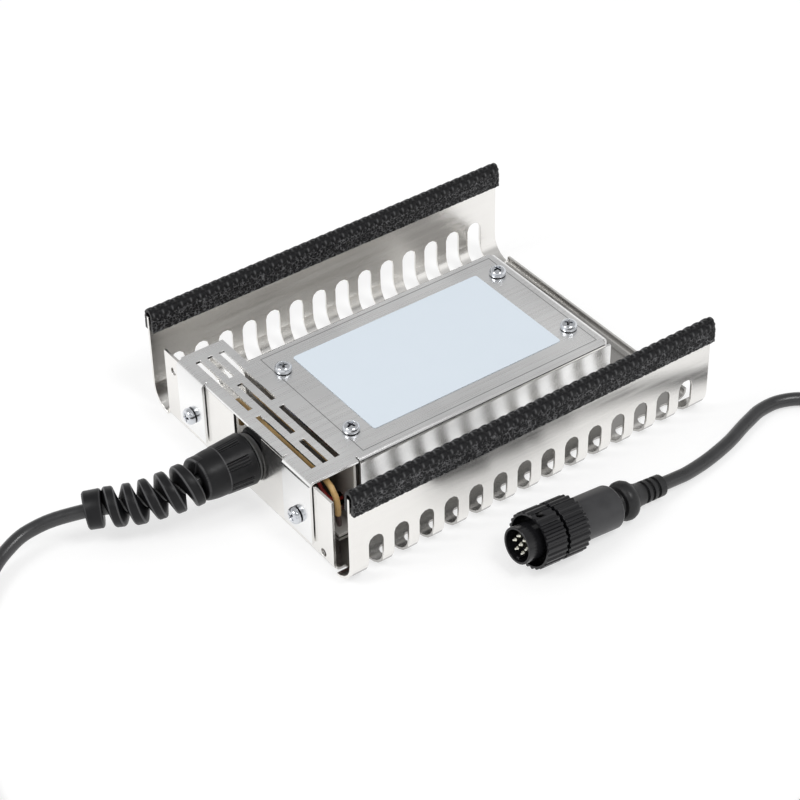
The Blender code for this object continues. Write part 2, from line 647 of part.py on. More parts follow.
def cover():
    drop = COVER_TOP - BOX_FLOOR
    right_bend, near_bend = COVER_RIGHT - COVER_BEND, -COVER_NEAR - COVER_BEND
    far_bend = COVER_FAR - COVER_BEND
    bend_args = (COVER_BEND_INNER, COVER_SHEET)
    near_edge = -flat_length(near_bend, *bend_args, drop)
    far_edge = flat_length(far_bend, *bend_args, drop)
    right_edge = flat_length(right_bend, *bend_args, drop)
    after_near = -flat_length(near_bend, *bend_args, COVER_BEND)
    after_far = flat_length(far_bend, *bend_args, COVER_BEND)
    ear_edge = -flat_length(EAR_START, EAR_BEND_INNER, COVER_SHEET, COVER_TOP - EAR_BOTTOM)
    (near_low, near_high), (far_low, far_high) = ear_ranges()
    slit_end = -EAR_START + EAR_SLIT
    cut_right, cut = right_bend - CORNER_NOTCH, CORNER_NOTCH
    outline = [
        (ear_edge, near_low), (COVER_STEP, near_low), (COVER_STEP, -near_bend + cut),
        (FLANGE_START, -near_bend + cut), (FLANGE_START, near_edge), (COVER_RIGHT, near_edge),
        (COVER_RIGHT, after_near), (cut_right, after_near), (cut_right, -near_bend + cut),
        (right_edge, -near_bend + cut), (right_edge, far_bend - cut), (cut_right, far_bend - cut),
        (cut_right, after_far), (COVER_RIGHT, after_far), (COVER_RIGHT, far_edge),
        (FLANGE_START, far_edge), (FLANGE_START, far_bend - cut), (COVER_STEP, far_bend - cut),
        (COVER_STEP, EXTENSION_FAR), (slit_end, EXTENSION_FAR),
    ]
    if EXTENSION_FAR > far_high + 1e-6:
        outline += [(slit_end, far_high)]
    outline += [(ear_edge, far_high), (ear_edge, far_low), (slit_end, far_low)]
    outline += [(slit_end, far_low - EAR_SLIT), (EXTENSION_LEFT_EDGE, far_low - EAR_SLIT)]
    outline += [(EXTENSION_LEFT_EDGE, near_high + EAR_SLIT), (slit_end, near_high + EAR_SLIT)]
    outline += [(slit_end, near_high), (ear_edge, near_high)]
    half = VENT_WIDTH / 2
    holes = [
        rectangle((x - half, x + half), span)
        for x, spans in VENT_ROWS
        for span in spans
    ]
    holes += [circle(SCREW_RADIUS + GAP, spot, 12) for spot in COVER_SCREWS]
    ear_hole = -flat_length(EAR_START, EAR_BEND_INNER, COVER_SHEET, COVER_TOP - EAR_SCREW_HEIGHT)
    holes += [circle(SCREW_RADIUS + GAP, (ear_hole, y), 12) for y in EAR_CENTRES]
    creases = []
    for k in crease_positions(0, COVER_BEND_INNER, COVER_SHEET, 4):
        creases += [((FLANGE_START, -near_bend - k), (COVER_RIGHT, -near_bend - k))]
        creases += [((FLANGE_START, far_bend + k), (COVER_RIGHT, far_bend + k))]
        creases += [((right_bend + k, -near_bend + cut), (right_bend + k, far_bend - cut))]
    for k in crease_positions(EAR_START, EAR_BEND_INNER, COVER_SHEET, 4):
        creases += [((-k, near_low), (-k, near_high)), ((-k, far_low), (-k, far_high))]
    points, faces = sheet(outline, holes, COVER_SHEET, cover_shape, creases)
    place("cover", mesh_from("cover", points, faces), BRUSHED)


def cross_recess(top, depth):
    """Tapered cross that a driver leaves in a screw's head."""
    def cross(reach, half):
        quarter = [(reach, -half), (reach, half), (half, half)]
        turns = [Matrix.Rotation(k * QUARTER, 2) for k in range(4)]
        return [tuple(turn @ Vector(p)) for turn in turns for p in quarter]

    heights = (top + depth / 2, top, top - depth)
    return lofted([
        [(x, a, b) for a, b in cross(reach, half)]
        for x, reach, half in zip(heights, RECESS_REACH, RECESS_HALF_SLOT)
    ])


def screw_mesh(name, length):
    """Pan head screw turned about +X, with its head's seat at 0 and its shank behind it."""
    r, h = SCREW_HEAD_RADIUS, SCREW_HEAD_HEIGHT
    dome = [(h, 0), (h, 0.35 * r), (0.9 * h, 0.65 * r), (0.62 * h, 0.88 * r), (0.3 * h, r), (0, r)]
    shank = [(0, SCREW_RADIUS), (-length + SCREW_TIP, SCREW_RADIUS)]
    shank += [(-length, SCREW_RADIUS - SCREW_TIP), (-length, 0)]
    return mesh_from(name, *turned(dome + shank, 16))


def screws():
    recess = cutter("recess_cutter", *cross_recess(SCREW_HEAD_HEIGHT, SCREW_RECESS))
    on_cover = [(x, y, COVER_TOP + GAP) for x, y in COVER_SCREWS]
    on_ears = [(COVER_LEFT - GAP, y, EAR_SCREW_HEIGHT) for y in EAR_CENTRES]
    for name, length, seats, axis in (
        ("cover_screw", COVER_SCREW_LENGTH, on_cover, "Z"),
        ("ear_screw", EAR_SCREW_LENGTH, on_ears, "-X"),
    ):
        mesh = screw_mesh(name, length)
        for i, seat in enumerate(seats):
            matrix = upright(seat, axis)
            tool = bpy.data.objects.new(f"recess_{name}_{i + 1}", recess.data)
            bpy.context.scene.collection.objects.link(tool)
            tool.matrix_local = matrix
            tool.hide_render = True
            tool.display_type = "WIRE"
            boolean(place(f"{name}_{i + 1}", mesh, ZINC, matrix), tool)


def hexagon(half_flats, start=0.0):
    corner = half_flats / math.cos(math.pi / 6)
    return circle(corner, steps=6, start=start)


def extruded(outline, holes, low, high):
    """Prism with holes, between two heights."""
    def shape(flat, height):
        return np.hstack([flat, np.full((len(flat), 1), low + height)])

    return sheet(outline, holes, high - low, shape)


def across_x(points):
    """Turns a prism that was made upright to lie along +X, its first axis becoming +Y."""
    return np.asarray(points)[:, [2, 0, 1]]


def ear_nuts():
    left = FLAP_OUTER + TRAY_SHEET
    bore = circle(SCREW_RADIUS + GAP, steps=12)
    points, faces = extruded(hexagon(NUT_HALF_FLATS), [bore], 0, NUT_HEIGHT)
    mesh = mesh_from("ear_nut", across_x(points), faces)
    starts = [left + LUG_PLATE + 2 * GAP, left + GAP]
    for i, (y, x) in enumerate(zip(EAR_CENTRES, starts)):
        place(f"ear_nut_{i + 1}", mesh, ZINC, Matrix.Translation((x, y, EAR_SCREW_HEIGHT)))


def earth_lug():
    """Ring terminal under the near ear's nut, with its crimped barrel towards the gland."""
    start = math.asin(LUG_TONGUE_HALF / LUG_RING_RADIUS)
    outline = circle(LUG_RING_RADIUS, (0, 0), 16, start, 2 * math.pi - 2 * start - 1e-6)
    outline += [(LUG_REACH, -LUG_TONGUE_HALF), (LUG_REACH, LUG_TONGUE_HALF)]
    bore = circle(SCREW_RADIUS + GAP, steps=12)
    points, faces = extruded(outline, [bore], 0, LUG_PLATE)
    left = FLAP_OUTER + TRAY_SHEET + GAP
    matrix = Matrix.Translation((left, EAR_CENTRES[0], EAR_SCREW_HEIGHT))
    lug = place("earth_lug", mesh_from("earth_lug", across_x(points), faces), ZINC, matrix)
    points, faces = turned([
        (0, LUG_BARREL_RADIUS), (LUG_BARREL_LENGTH, LUG_BARREL_RADIUS),
        (LUG_BARREL_LENGTH, LUG_BARREL_BORE), (0, LUG_BARREL_BORE),
    ], 16)
    along_y = np.stack([points[:, 1], points[:, 0], points[:, 2]], axis=1)
    offset = np.array([LUG_PLATE + 0.2 * MM, LUG_REACH - 0.6 * MM, 0])
    barrel = cutter("lug_barrel", along_y + offset, faces, None, matrix)
    boolean(lug, barrel, "UNION")


def label():
    outline = rounded_rectangle(LABEL_X, LABEL_Y, LABEL_CORNER)
    low = COVER_TOP + LABEL_GAP
    place("label", mesh_from("label", *extruded(outline, [], low, low + LABEL_THICKNESS)), LABEL_WHITE)


def heater_stack():
    """Aluminium spreader, mica element, rigid board and fibre pad, drilled for the four posts."""
    drilled = [circle(POST_RADIUS + GAP, spot, 16) for spot in COVER_SCREWS]
    spreader_top = BOX_FLOOR + SPREADER_HEIGHT
    element_low = spreader_top + GAP
    board_low = element_low + ELEMENT_THICKNESS + GAP
    pad_low = board_low + BOARD_THICKNESS + GAP
    pad_top = COVER_TOP - COVER_SHEET - GAP
    full = rectangle(STACK_X, STACK_Y)
    block = mesh_from("heat_spreader", *extruded(full, drilled, BOX_FLOOR, spreader_top))
    spreader = place("heat_spreader", block, ALUMINIUM)
    left, half = ELEMENT_X[0], ELEMENT_TAB_WIDTH / 2
    element = [(ELEMENT_X[1], STACK_Y[0]), (ELEMENT_X[1], STACK_Y[1]), (left, STACK_Y[1])]
    for y in sorted(ELEMENT_TABS, reverse=True):
        tab = left - ELEMENT_TAB_LENGTH
        element += [(left, y + half), (tab, y + half), (tab, y - half), (left, y - half)]
    element += [(left, STACK_Y[0])]
    inner = rectangle(ELEMENT_X, STACK_Y)
    for name, outline, low, high, look in (
        ("heating_element", element, element_low, element_low + ELEMENT_THICKNESS, MICA),
        ("insulation_board", inner, board_low, board_low + BOARD_THICKNESS, MICA),
        ("insulation_pad", inner, pad_low, pad_top, FIBRE),
    ):
        place(name, mesh_from(name, *extruded(outline, drilled, low, high)), look)
    middle = BOX_FLOOR + SPREADER_HEIGHT / 2
    bore_depth = SENSOR_LENGTH - SENSOR_OUT + GAP
    wide = SENSOR_RADIUS + GAP
    bore = turned([(-MM, 0), (-MM, wide), (bore_depth, wide), (bore_depth, 0)], 16)
    tool = cutter("sensor_bore", *bore, None, Matrix.Translation((STACK_X[0], SENSOR_Y, middle)))
    boolean(spreader, tool)
    probe = [
        (0, 0), (0, SENSOR_RADIUS), (SENSOR_LENGTH - SENSOR_TIP, SENSOR_RADIUS),
        (SENSOR_LENGTH, SENSOR_RADIUS - SENSOR_TIP), (SENSOR_LENGTH, 0),
    ]
    matrix = Matrix.Translation((STACK_X[0] - SENSOR_OUT, SENSOR_Y, middle))
    place("temperature_sensor", mesh_from("temperature_sensor", *turned(probe, 16)), ZINC, matrix)


def posts():
    """Threaded posts that the cover's screws go into, standing on the base."""
    top = COVER_TOP - COVER_SHEET - GAP
    depth = COVER_SCREW_LENGTH - COVER_SHEET + GAP
    bore = SCREW_RADIUS + GAP
    section = [(BOX_FLOOR, 0), (BOX_FLOOR, POST_RADIUS), (top, POST_RADIUS)]
    section += [(top, bore), (top - depth, bore), (top - depth, 0)]
    mesh = mesh_from("post", *turned(section, 16))
    for i, (x, y) in enumerate(COVER_SCREWS):
        place(f"cover_post_{i + 1}", mesh, ZINC, upright((x, y, 0), "Z"))


def end_plate():
    """Wall between the heater box and the wiring space, on a foot that is split for the sensor."""
    outer = PLATE_BEND_INNER + PLATE_SHEET
    start = PLATE_RIGHT - outer
    top = COVER_TOP - COVER_SHEET - GAP - BOX_FLOOR
    flat_top = flat_length(start, PLATE_BEND_INNER, PLATE_SHEET, top)
    notch_top = flat_length(start, PLATE_BEND_INNER, PLATE_SHEET, PLATE_SENSOR_TOP - BOX_FLOOR)
    foot = start - PLATE_FOOT
    half = PLATE_SENSOR_NOTCH / 2
    outline = [(foot, PLATE_NEAR), (flat_top, PLATE_NEAR), (flat_top, PLATE_FAR), (foot, PLATE_FAR)]
    outline += [(foot, SENSOR_Y + half), (notch_top, SENSOR_Y + half)]
    outline += [(notch_top, SENSOR_Y - half), (foot, SENSOR_Y - half)]
    lead_y, lead_z = PLATE_LEAD_HOLE
    hole_at = flat_length(start, PLATE_BEND_INNER, PLATE_SHEET, lead_z - BOX_FLOOR)
    holes = [circle(PLATE_LEAD_RADIUS, (hole_at, lead_y), 16)]

    def shape(flat, height):
        along, up = bend(flat[:, 0], height, start, PLATE_BEND_INNER, PLATE_SHEET)
        return np.stack([along, flat[:, 1], BOX_FLOOR + up], axis=1)

    bends = crease_positions(start, PLATE_BEND_INNER, PLATE_SHEET, 3)
    creases = [((x, PLATE_NEAR), (x, PLATE_FAR)) for x in bends]
    points, faces = sheet(outline, holes, PLATE_SHEET, shape, creases)
    place("end_plate", mesh_from("end_plate", points, faces), STEEL)


NUT_START = GAP + GLAND_FLANGE + GAP
GRIP_END = NUT_START + GRIP_LENGTH
DOME_END = GRIP_END + DOME_LENGTH


def gland():
    """Gland parts, turned about an axis that runs out of the end flap."""
    seat = Matrix.Translation((FLAP_OUTER, GLAND_Y, GLAND_Z)) @ Matrix.Rotation(math.pi, 4, "Z")
    bore = CORD_RADIUS + CORD_GAP
    inside_end = -(TRAY_SHEET + GAP + GLAND_INSIDE)
    seal_room = SEAL_RADIUS + GAP
    front = GAP + GLAND_FLANGE + GLAND_OUTSIDE
    seal_start = front - SEAL_LENGTH
    body = [
        (inside_end, bore), (inside_end, GLAND_THREAD_RADIUS), (-TRAY_SHEET - GAP, GLAND_THREAD_RADIUS),
        (-TRAY_SHEET - GAP, NECK_RADIUS), (GAP, NECK_RADIUS), (GAP, GLAND_FLANGE_RADIUS),
        (GAP + GLAND_FLANGE, GLAND_FLANGE_RADIUS), (GAP + GLAND_FLANGE, GLAND_THREAD_RADIUS),
        (front, GLAND_THREAD_RADIUS), (front, seal_room), (seal_start - GAP, seal_room),
        (seal_start - GAP, bore),
    ]
    place("gland_body", mesh_from("gland_body", *turned(body, 24)), NYLON, seat)
    seal = [(seal_start, bore), (seal_start, SEAL_RADIUS), (front, SEAL_RADIUS), (front, bore)]
    place("gland_seal", mesh_from("gland_seal", *turned(seal, 24)), RUBBER, seat)
    hex_outline = hexagon(LOCK_NUT_HALF_FLATS, start=0)
    hole = circle(GLAND_THREAD_RADIUS + GAP, steps=24)
    low = -TRAY_SHEET - 2 * GAP - LOCK_NUT_HEIGHT
    points, faces = extruded(hex_outline, [hole], low, low + LOCK_NUT_HEIGHT)
    place("gland_lock_nut", mesh_from("gland_lock_nut", across_x(points), faces), NYLON, seat)
    return seat


def grip_ripple(along, radius, angles):
    """Shallow grooves between the grip's panels."""
    if radius < GLAND_THREAD_RADIUS + 1 * MM or along > GRIP_END + 0.1 * MM:
        return np.zeros(len(angles))
    phase = (angles * GRIP_PANELS / (2 * math.pi)) % 1
    return np.where(np.abs(phase - 0.5) > 0.4, -GRIP_GROOVE, 0)


def relief_axis():
    """Middle line of the strain relief: the lead's own line from the dome to the collar's end."""
    line = smooth_curve(follow_flap(CORD_START_ROUTE), LINE_STEP)
    start = FLAP_OUTER - DOME_END + SPIRAL_START
    first = int(np.argmax(line[:, 0] < start))
    length = SPIRAL_START + SPIRAL_PITCH * SPIRAL_TURNS + COLLAR_LENGTH
    return line[first:first + int(round(length / LINE_STEP)) + 1]


def frames_along(line):
    """Unit tangents and two unit normals along a line, the first normal kept near to +Z."""
    tangent = np.gradient(line, axis=0)
    tangent /= np.linalg.norm(tangent, axis=1)[:, None]
    up = np.array([0, 0, 1.0]) - tangent * tangent[:, 2:]
    up /= np.linalg.norm(up, axis=1)[:, None]
    return tangent, up, np.cross(tangent, up)


def spiral_ribbon(line, steps_per_turn=16):
    """Ribbon of trapezoid section wound round the line, right handed towards the collar."""
    total = SPIRAL_START + SPIRAL_PITCH * SPIRAL_TURNS + 0.3 * COLLAR_LENGTH
    count = int(steps_per_turn * total / SPIRAL_PITCH)
    walked = np.linspace(0, total, count + 1)
    share = walked / total
    angle = 2 * math.pi * walked / SPIRAL_PITCH
    outer = SPIRAL_OUTER[0] + (SPIRAL_OUTER[1] - SPIRAL_OUTER[0]) * share
    tangent, up, side = frames_along(line)
    at = walked / LINE_STEP
    root, tip, soft = SPIRAL_ROOT_WIDTH / 2, SPIRAL_TIP_WIDTH / 2, SPIRAL_SOFT
    loops = []
    for k in range(count + 1):
        i = min(int(round(at[k])), len(line) - 1)
        out = math.cos(angle[k]) * up[i] + math.sin(angle[k]) * side[i]
        corners = [
            (-root, SPIRAL_INNER), (-tip, outer[k] - soft), (-tip + soft, outer[k]),
            (tip - soft, outer[k]), (tip, outer[k] - soft), (root, SPIRAL_INNER),
        ]
        base = np.array([np.interp(at[k], range(len(line)), line[:, c]) for c in range(3)])
        loops.append([base + tangent[i] * a + out * r for a, r in corners])
    return lofted(loops)


def dome_nut(seat):
    """Cap nut of the gland and its spiral strain relief, moulded in one piece."""
    thread = GLAND_THREAD_RADIUS + GAP
    nose_bore = CORD_RADIUS + 2.5 * CORD_GAP
    wall_start = GAP + GLAND_FLANGE + GLAND_OUTSIDE + GAP
    wide, narrow = GRIP_RADII
    chamfer = 0.5 * MM
    profile = [
        (NUT_START, thread), (NUT_START, wide - chamfer), (NUT_START + chamfer, wide),
        (NUT_START + GRIP_LENGTH * 0.35, wide + (narrow - wide) * 0.35), (GRIP_END - chamfer, narrow),
        (GRIP_END, narrow), (GRIP_END + 0.3 * DOME_LENGTH, narrow - 0.02 * MM),
        (GRIP_END + 0.7 * DOME_LENGTH, DOME_TIP_RADIUS + 0.25 * MM), (DOME_END - 0.8 * MM, DOME_TIP_RADIUS),
        (DOME_END, DOME_TIP_RADIUS - 0.9 * MM), (DOME_END, nose_bore), (wall_start + 2 * MM, nose_bore),
        (wall_start, thread),
    ]
    mesh = mesh_from("dome_nut", *turned(profile, 48, grip_ripple))
    nut = place("dome_nut", mesh, NYLON, seat)
    line = relief_axis()
    boolean(nut, cutter("spiral_part", *spiral_ribbon(line)), "UNION")
    tangent, up, side = frames_along(line)
    collar_first = len(line) - 1 - int(round(COLLAR_LENGTH / LINE_STEP))
    picks = [collar_first + int(round(k)) for k in np.linspace(0, len(line) - 1 - collar_first, 5)]
    bore, loops_out, loops_in = CORD_RADIUS + CORD_GAP, [], []
    for i in picks:
        for radius, loops in ((COLLAR_RADIUS, loops_out), (bore, loops_in)):
            loops.append([line[i] + a * up[i] + b * side[i] for a, b in circle(radius)])
    boolean(nut, cutter("collar_part", *lofted(loops_out)), "UNION")
    ahead, behind = tangent[picks[-1]] * MM, tangent[picks[0]] * MM
    loops_in = [[p - behind for p in loops_in[0]], *loops_in, [p + ahead for p in loops_in[-1]]]
    boolean(nut, cutter("collar_bore", *lofted(loops_in)))


def coil_section():
    """Outline of the stacked turns in (from the coil's middle line, up): three turns, two, one."""
    pitch, rise = 2 * CORD_RADIUS, CORD_RADIUS * math.sqrt(3)
    low, radius = TIE_THICKNESS + GAP, CORD_RADIUS
    top = low + radius + 2 * rise
    points = [(-pitch, low), (pitch, low)]
    points += circle(radius, (pitch, low + radius), 4, -QUARTER, QUARTER + math.pi / 6)[1:]
    points += circle(radius, (0, top), 6, math.pi / 6, math.pi * 2 / 3)
    points += circle(radius, (-pitch, low + radius), 4, math.pi * 5 / 6, QUARTER + math.pi / 6)[:-1]
    return points


def cord():
    """Lead from its end in the wiring space to the plug, its spare length in a tied coil."""
    for name, route, spacing in (
        ("cord_gland_side", follow_flap(CORD_START_ROUTE), 9.5 * MM),
        ("cord_plug_side", np.array(CORD_END_ROUTE) * MM, 12.5 * MM),
    ):
        line = smooth_curve(route, spacing)
        line[:, 2] = np.maximum(line[:, 2], CORD_RADIUS)
        tube(name, line, CORD_RADIUS, CORD_BLACK)
    section = coil_section()
    ring = turned([(up, COIL_MIDDLE_RADIUS + out) for out, up in section], 28)
    place("cord_coil", mesh_from("cord_coil", *ring), CORD_BLACK, upright((*COIL_CENTRE, 0), "Z"))
    points = np.array(section)
    ahead, behind = np.roll(points, -1, axis=0) - points, points - np.roll(points, 1, axis=0)
    normal = np.stack([ahead[:, 1] + behind[:, 1], -ahead[:, 0] - behind[:, 0]], axis=1)
    normal /= np.linalg.norm(normal, axis=1)[:, None]
    outer, inner = points + normal * (GAP + TIE_THICKNESS), points + normal * GAP
    outer[:, 1] = np.maximum(outer[:, 1], 0)
    inner[:, 1] = np.maximum(inner[:, 1], TIE_THICKNESS)
    half = TIE_WIDTH / 2
    band, faces = extruded([tuple(p) for p in outer], [[tuple(p) for p in inner]], -half, half)
    stood = np.stack([COIL_MIDDLE_RADIUS + band[:, 0], band[:, 2], band[:, 1]], axis=1)
    matrix = Matrix.Translation((*COIL_CENTRE, 0)) @ Matrix.Rotation(TIE_ANGLE, 4, "Z")
    place("cord_tie", mesh_from("cord_tie", stood, faces), NYLON, matrix)


def knurled(teeth, crest, depth, per_tooth=4):
    """Round outline with straight flanked teeth."""
    points = []
    for i in range(teeth * per_tooth):
        radius = crest if i % per_tooth in (0, 1) else crest - depth
        angle = 2 * math.pi * (i + 0.25 * (i % 2)) / (teeth * per_tooth)
        points.append((radius * math.cos(angle), radius * math.sin(angle)))
    return points


def plug():
    """Seven pin plug: insert, bayonet ring that turns on it, clamping ring, sleeve and boot."""
    front, tail = Vector(PLUG_FRONT), Vector(PLUG_TAIL)
    along = (tail - front).normalized()
    level = Vector((0, 0, 1)).cross(along).normalized()
    basis = Matrix((along, level, along.cross(level))).transposed().to_4x4()
    frame = bpy.data.objects.new("plug_frame", None)
    frame.matrix_world = Matrix.Translation(front) @ basis
    bpy.context.scene.collection.objects.link(frame)

    bore = INSERT_RADIUS + GAP
    wall = INSERT_RADIUS - INSERT_WALL
    insert_end = REAR_RING_END
    insert = [
        (-INSERT_OUT + INSERT_DEPTH, 0), (-INSERT_OUT + INSERT_DEPTH, wall), (-INSERT_OUT, wall),
        (-INSERT_OUT, INSERT_RADIUS), (insert_end, INSERT_RADIUS), (insert_end, 0),
    ]
    body = place("plug_insert", mesh_from("plug_insert", *turned(insert, 32)), NYLON, None, frame)
    key = rectangle((-KEY_HALF_WIDTH, KEY_HALF_WIDTH), (-wall - INSERT_WALL / 2, -wall + KEY_HEIGHT))
    points, faces = extruded(key, [], -INSERT_OUT + MM, -INSERT_OUT + INSERT_DEPTH + MM)
    boolean(body, cutter("key_part", across_x(points), faces, frame), "UNION")

    pin_seat, pin_end = -INSERT_OUT + INSERT_DEPTH - GAP, PIN_SHORT - INSERT_DEPTH
    pin = [(0, 0), (0, PIN_RADIUS), (pin_end + PIN_TIP, PIN_RADIUS)]
    pin += [(pin_end, 0.35 * PIN_RADIUS), (pin_end, 0)]
    pin_mesh = mesh_from("plug_pin", *turned(pin, 10))
    spots = [(pin_seat, y * PIN_PITCH, z * PIN_ROW_PITCH) for z, row in PIN_ROWS for y in row]
    for number, spot in enumerate(spots, 1):
        place(f"plug_pin_{number}", pin_mesh, PIN_METAL, Matrix.Translation(spot), frame)

    points, faces = extruded(knurled(RING_TEETH, RING_RADIUS, TOOTH_DEPTH), [], 0, RING_LENGTH)
    ring = place("coupling_ring", mesh_from("coupling_ring", across_x(points), faces), NYLON, None, frame)
    bayonet_at = (RING_LENGTH - RING_WEB) * 0.5
    chamber = [
        (-MM, 0), (-MM, RING_BORE), (RING_LENGTH - RING_WEB, RING_BORE), (RING_LENGTH - RING_WEB, bore),
        (RING_LENGTH + MM, bore), (RING_LENGTH + MM, 0),
    ]
    boolean(ring, cutter("ring_bore", *turned(chamber, 32), frame))
    window = rectangle((-WINDOW_HALF_WIDTH, WINDOW_HALF_WIDTH), (RING_BORE - MM, RING_RADIUS + MM))
    window_start = bayonet_at - 1.2 * MM
    points, faces = extruded(window, [], window_start, window_start + WINDOW_LENGTH)
    boolean(ring, cutter("ring_window", across_x(points), faces, frame))
    half = BAYONET_HALF_WIDTH
    stud = rectangle((-half, half), (RING_BORE - BAYONET_HEIGHT, RING_BORE + 0.5 * MM))
    points, faces = extruded(stud, [], bayonet_at - BAYONET_LENGTH / 2, bayonet_at + BAYONET_LENGTH / 2)
    for number, turn in enumerate((math.radians(55), math.radians(235)), 1):
        tool = cutter(f"bayonet_{number}", across_x(points), faces, frame, Matrix.Rotation(turn, 4, "X"))
        boolean(ring, tool, "UNION")

    teeth = knurled(RING_TEETH, RING_RADIUS, TOOTH_DEPTH)
    points, faces = extruded(teeth, [circle(bore, steps=32)], REAR_RING_START, REAR_RING_END)
    place("clamping_ring", mesh_from("clamping_ring", across_x(points), faces), NYLON, None, frame)

    low, soft = REAR_RING_END + GAP, SLEEVE_ROUNDING
    sleeve = [
        (low, SLEEVE_BORE), (low, SLEEVE_RADIUS), (SLEEVE_END - soft, SLEEVE_RADIUS),
        (SLEEVE_END - 0.35 * soft, SLEEVE_RADIUS - 0.35 * soft), (SLEEVE_END, SLEEVE_RADIUS - soft),
        (SLEEVE_END, SLEEVE_BORE),
    ]
    place("plug_sleeve", mesh_from("plug_sleeve", *turned(sleeve, 32)), NYLON, None, frame)

    neck = SLEEVE_BORE - GAP
    big, small = RELIEF_RADII
    waist_at, waist = BOOT_WAIST
    boot = [(SLEEVE_END - 6 * MM, 0), (SLEEVE_END - 6 * MM, neck), (SLEEVE_END - 0.4 * MM, neck)]
    boot += [(waist_at, waist), (BULB_START, waist + 0.3 * MM)]
    middle, half = (BULB_START + BULB_END) / 2, (BULB_END - BULB_START) / 2
    for k in range(1, 8):
        turn = math.pi * k / 8
        boot.append((middle - half * math.cos(turn), waist + (BULB_RADIUS - waist) * math.sin(turn) ** 0.6))
    boot += [(BULB_END + 0.2 * MM, big + 1.0 * MM), (BULB_END + 0.6 * (BULB_END - BULB_START), big)]
    for k in range(RELIEF_GROOVES):
        start = RELIEF_END - 1.2 * MM - (RELIEF_GROOVES - k) * RELIEF_PITCH
        end = start + RELIEF_GROOVE_WIDTH
        radius = big + (small - big) * (k + 1) / (RELIEF_GROOVES + 1)
        deep = radius - RELIEF_GROOVE_DEPTH
        boot += [(start, radius), (start, deep), (end, deep), (end, radius)]
    boot += [(RELIEF_END, small), (RELIEF_END, 0)]
    place("plug_boot", mesh_from("plug_boot", *turned(boot, 20)), RUBBER, None, frame)


def wiring():
    """Cores that fan out from the lead's end, and the sleeved lead that loops out past the cover."""
    for name, (radius, colour, route) in WIRES.items():
        look = principled(f"{name}_jacket", colour, 0.4)
        tube(name, smooth_curve(follow_flap(route), 2.9 * MM), radius * MM, look)
    tube("sleeved_lead", smooth_curve(follow_flap(SLEEVE_ROUTE), 3.6 * MM), SLEEVE_WIRE_RADIUS, TAN_SLEEVE)


tray()
trims()
cover()
screws()
ear_nuts()
earth_lug()
label()
heater_stack()
posts()
end_plate()
dome_nut(gland())
cord()
plug()
wiring()
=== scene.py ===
import math

import bmesh
import bpy
import numpy as np
from mathutils import Matrix, Vector


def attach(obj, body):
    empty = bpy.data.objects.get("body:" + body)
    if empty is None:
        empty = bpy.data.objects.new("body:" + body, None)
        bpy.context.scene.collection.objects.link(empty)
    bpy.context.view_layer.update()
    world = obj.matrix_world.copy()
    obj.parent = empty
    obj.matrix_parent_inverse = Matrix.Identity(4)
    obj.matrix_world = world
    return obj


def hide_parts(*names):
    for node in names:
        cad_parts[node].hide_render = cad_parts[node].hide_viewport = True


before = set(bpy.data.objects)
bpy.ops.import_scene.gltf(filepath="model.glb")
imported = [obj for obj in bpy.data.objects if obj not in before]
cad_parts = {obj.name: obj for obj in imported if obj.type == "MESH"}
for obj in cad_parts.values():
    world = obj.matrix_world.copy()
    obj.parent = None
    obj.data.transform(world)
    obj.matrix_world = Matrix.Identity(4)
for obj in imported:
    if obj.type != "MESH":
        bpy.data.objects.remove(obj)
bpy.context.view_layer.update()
MM = 0.001


# Camera: a long lens above the near left corner, so the lead, the slotted end and the plug
# all face it. Its turn, height and roll are the angles of a slightly tilted hand-set tripod.
CAMERA_PLACE = np.array([-389.65, -532.33, 532.37]) * MM
AZIMUTH = math.radians(-35.34)
ELEVATION = math.radians(38.74)
ROLL = math.radians(-1.14)
FOCAL_LENGTH = 109.22

back = np.array([math.sin(AZIMUTH) * math.cos(ELEVATION),
                 -math.cos(AZIMUTH) * math.cos(ELEVATION), math.sin(ELEVATION)])
level = np.array([math.cos(AZIMUTH), math.sin(AZIMUTH), 0])
upward = np.cross(back, level)
right = math.cos(ROLL) * level + math.sin(ROLL) * upward
above = -math.sin(ROLL) * level + math.cos(ROLL) * upward
lens = bpy.data.cameras.new("camera")
lens.lens = FOCAL_LENGTH
lens.clip_start = 0.05
lens.clip_end = 20
camera = bpy.data.objects.new("camera", lens)
bpy.context.scene.collection.objects.link(camera)
camera.matrix_world = Matrix([(*row, place) for row, place in
                              zip(np.stack([right, above, back], axis=1), CAMERA_PLACE)] + [(0, 0, 0, 1)])
bpy.context.scene.camera = camera


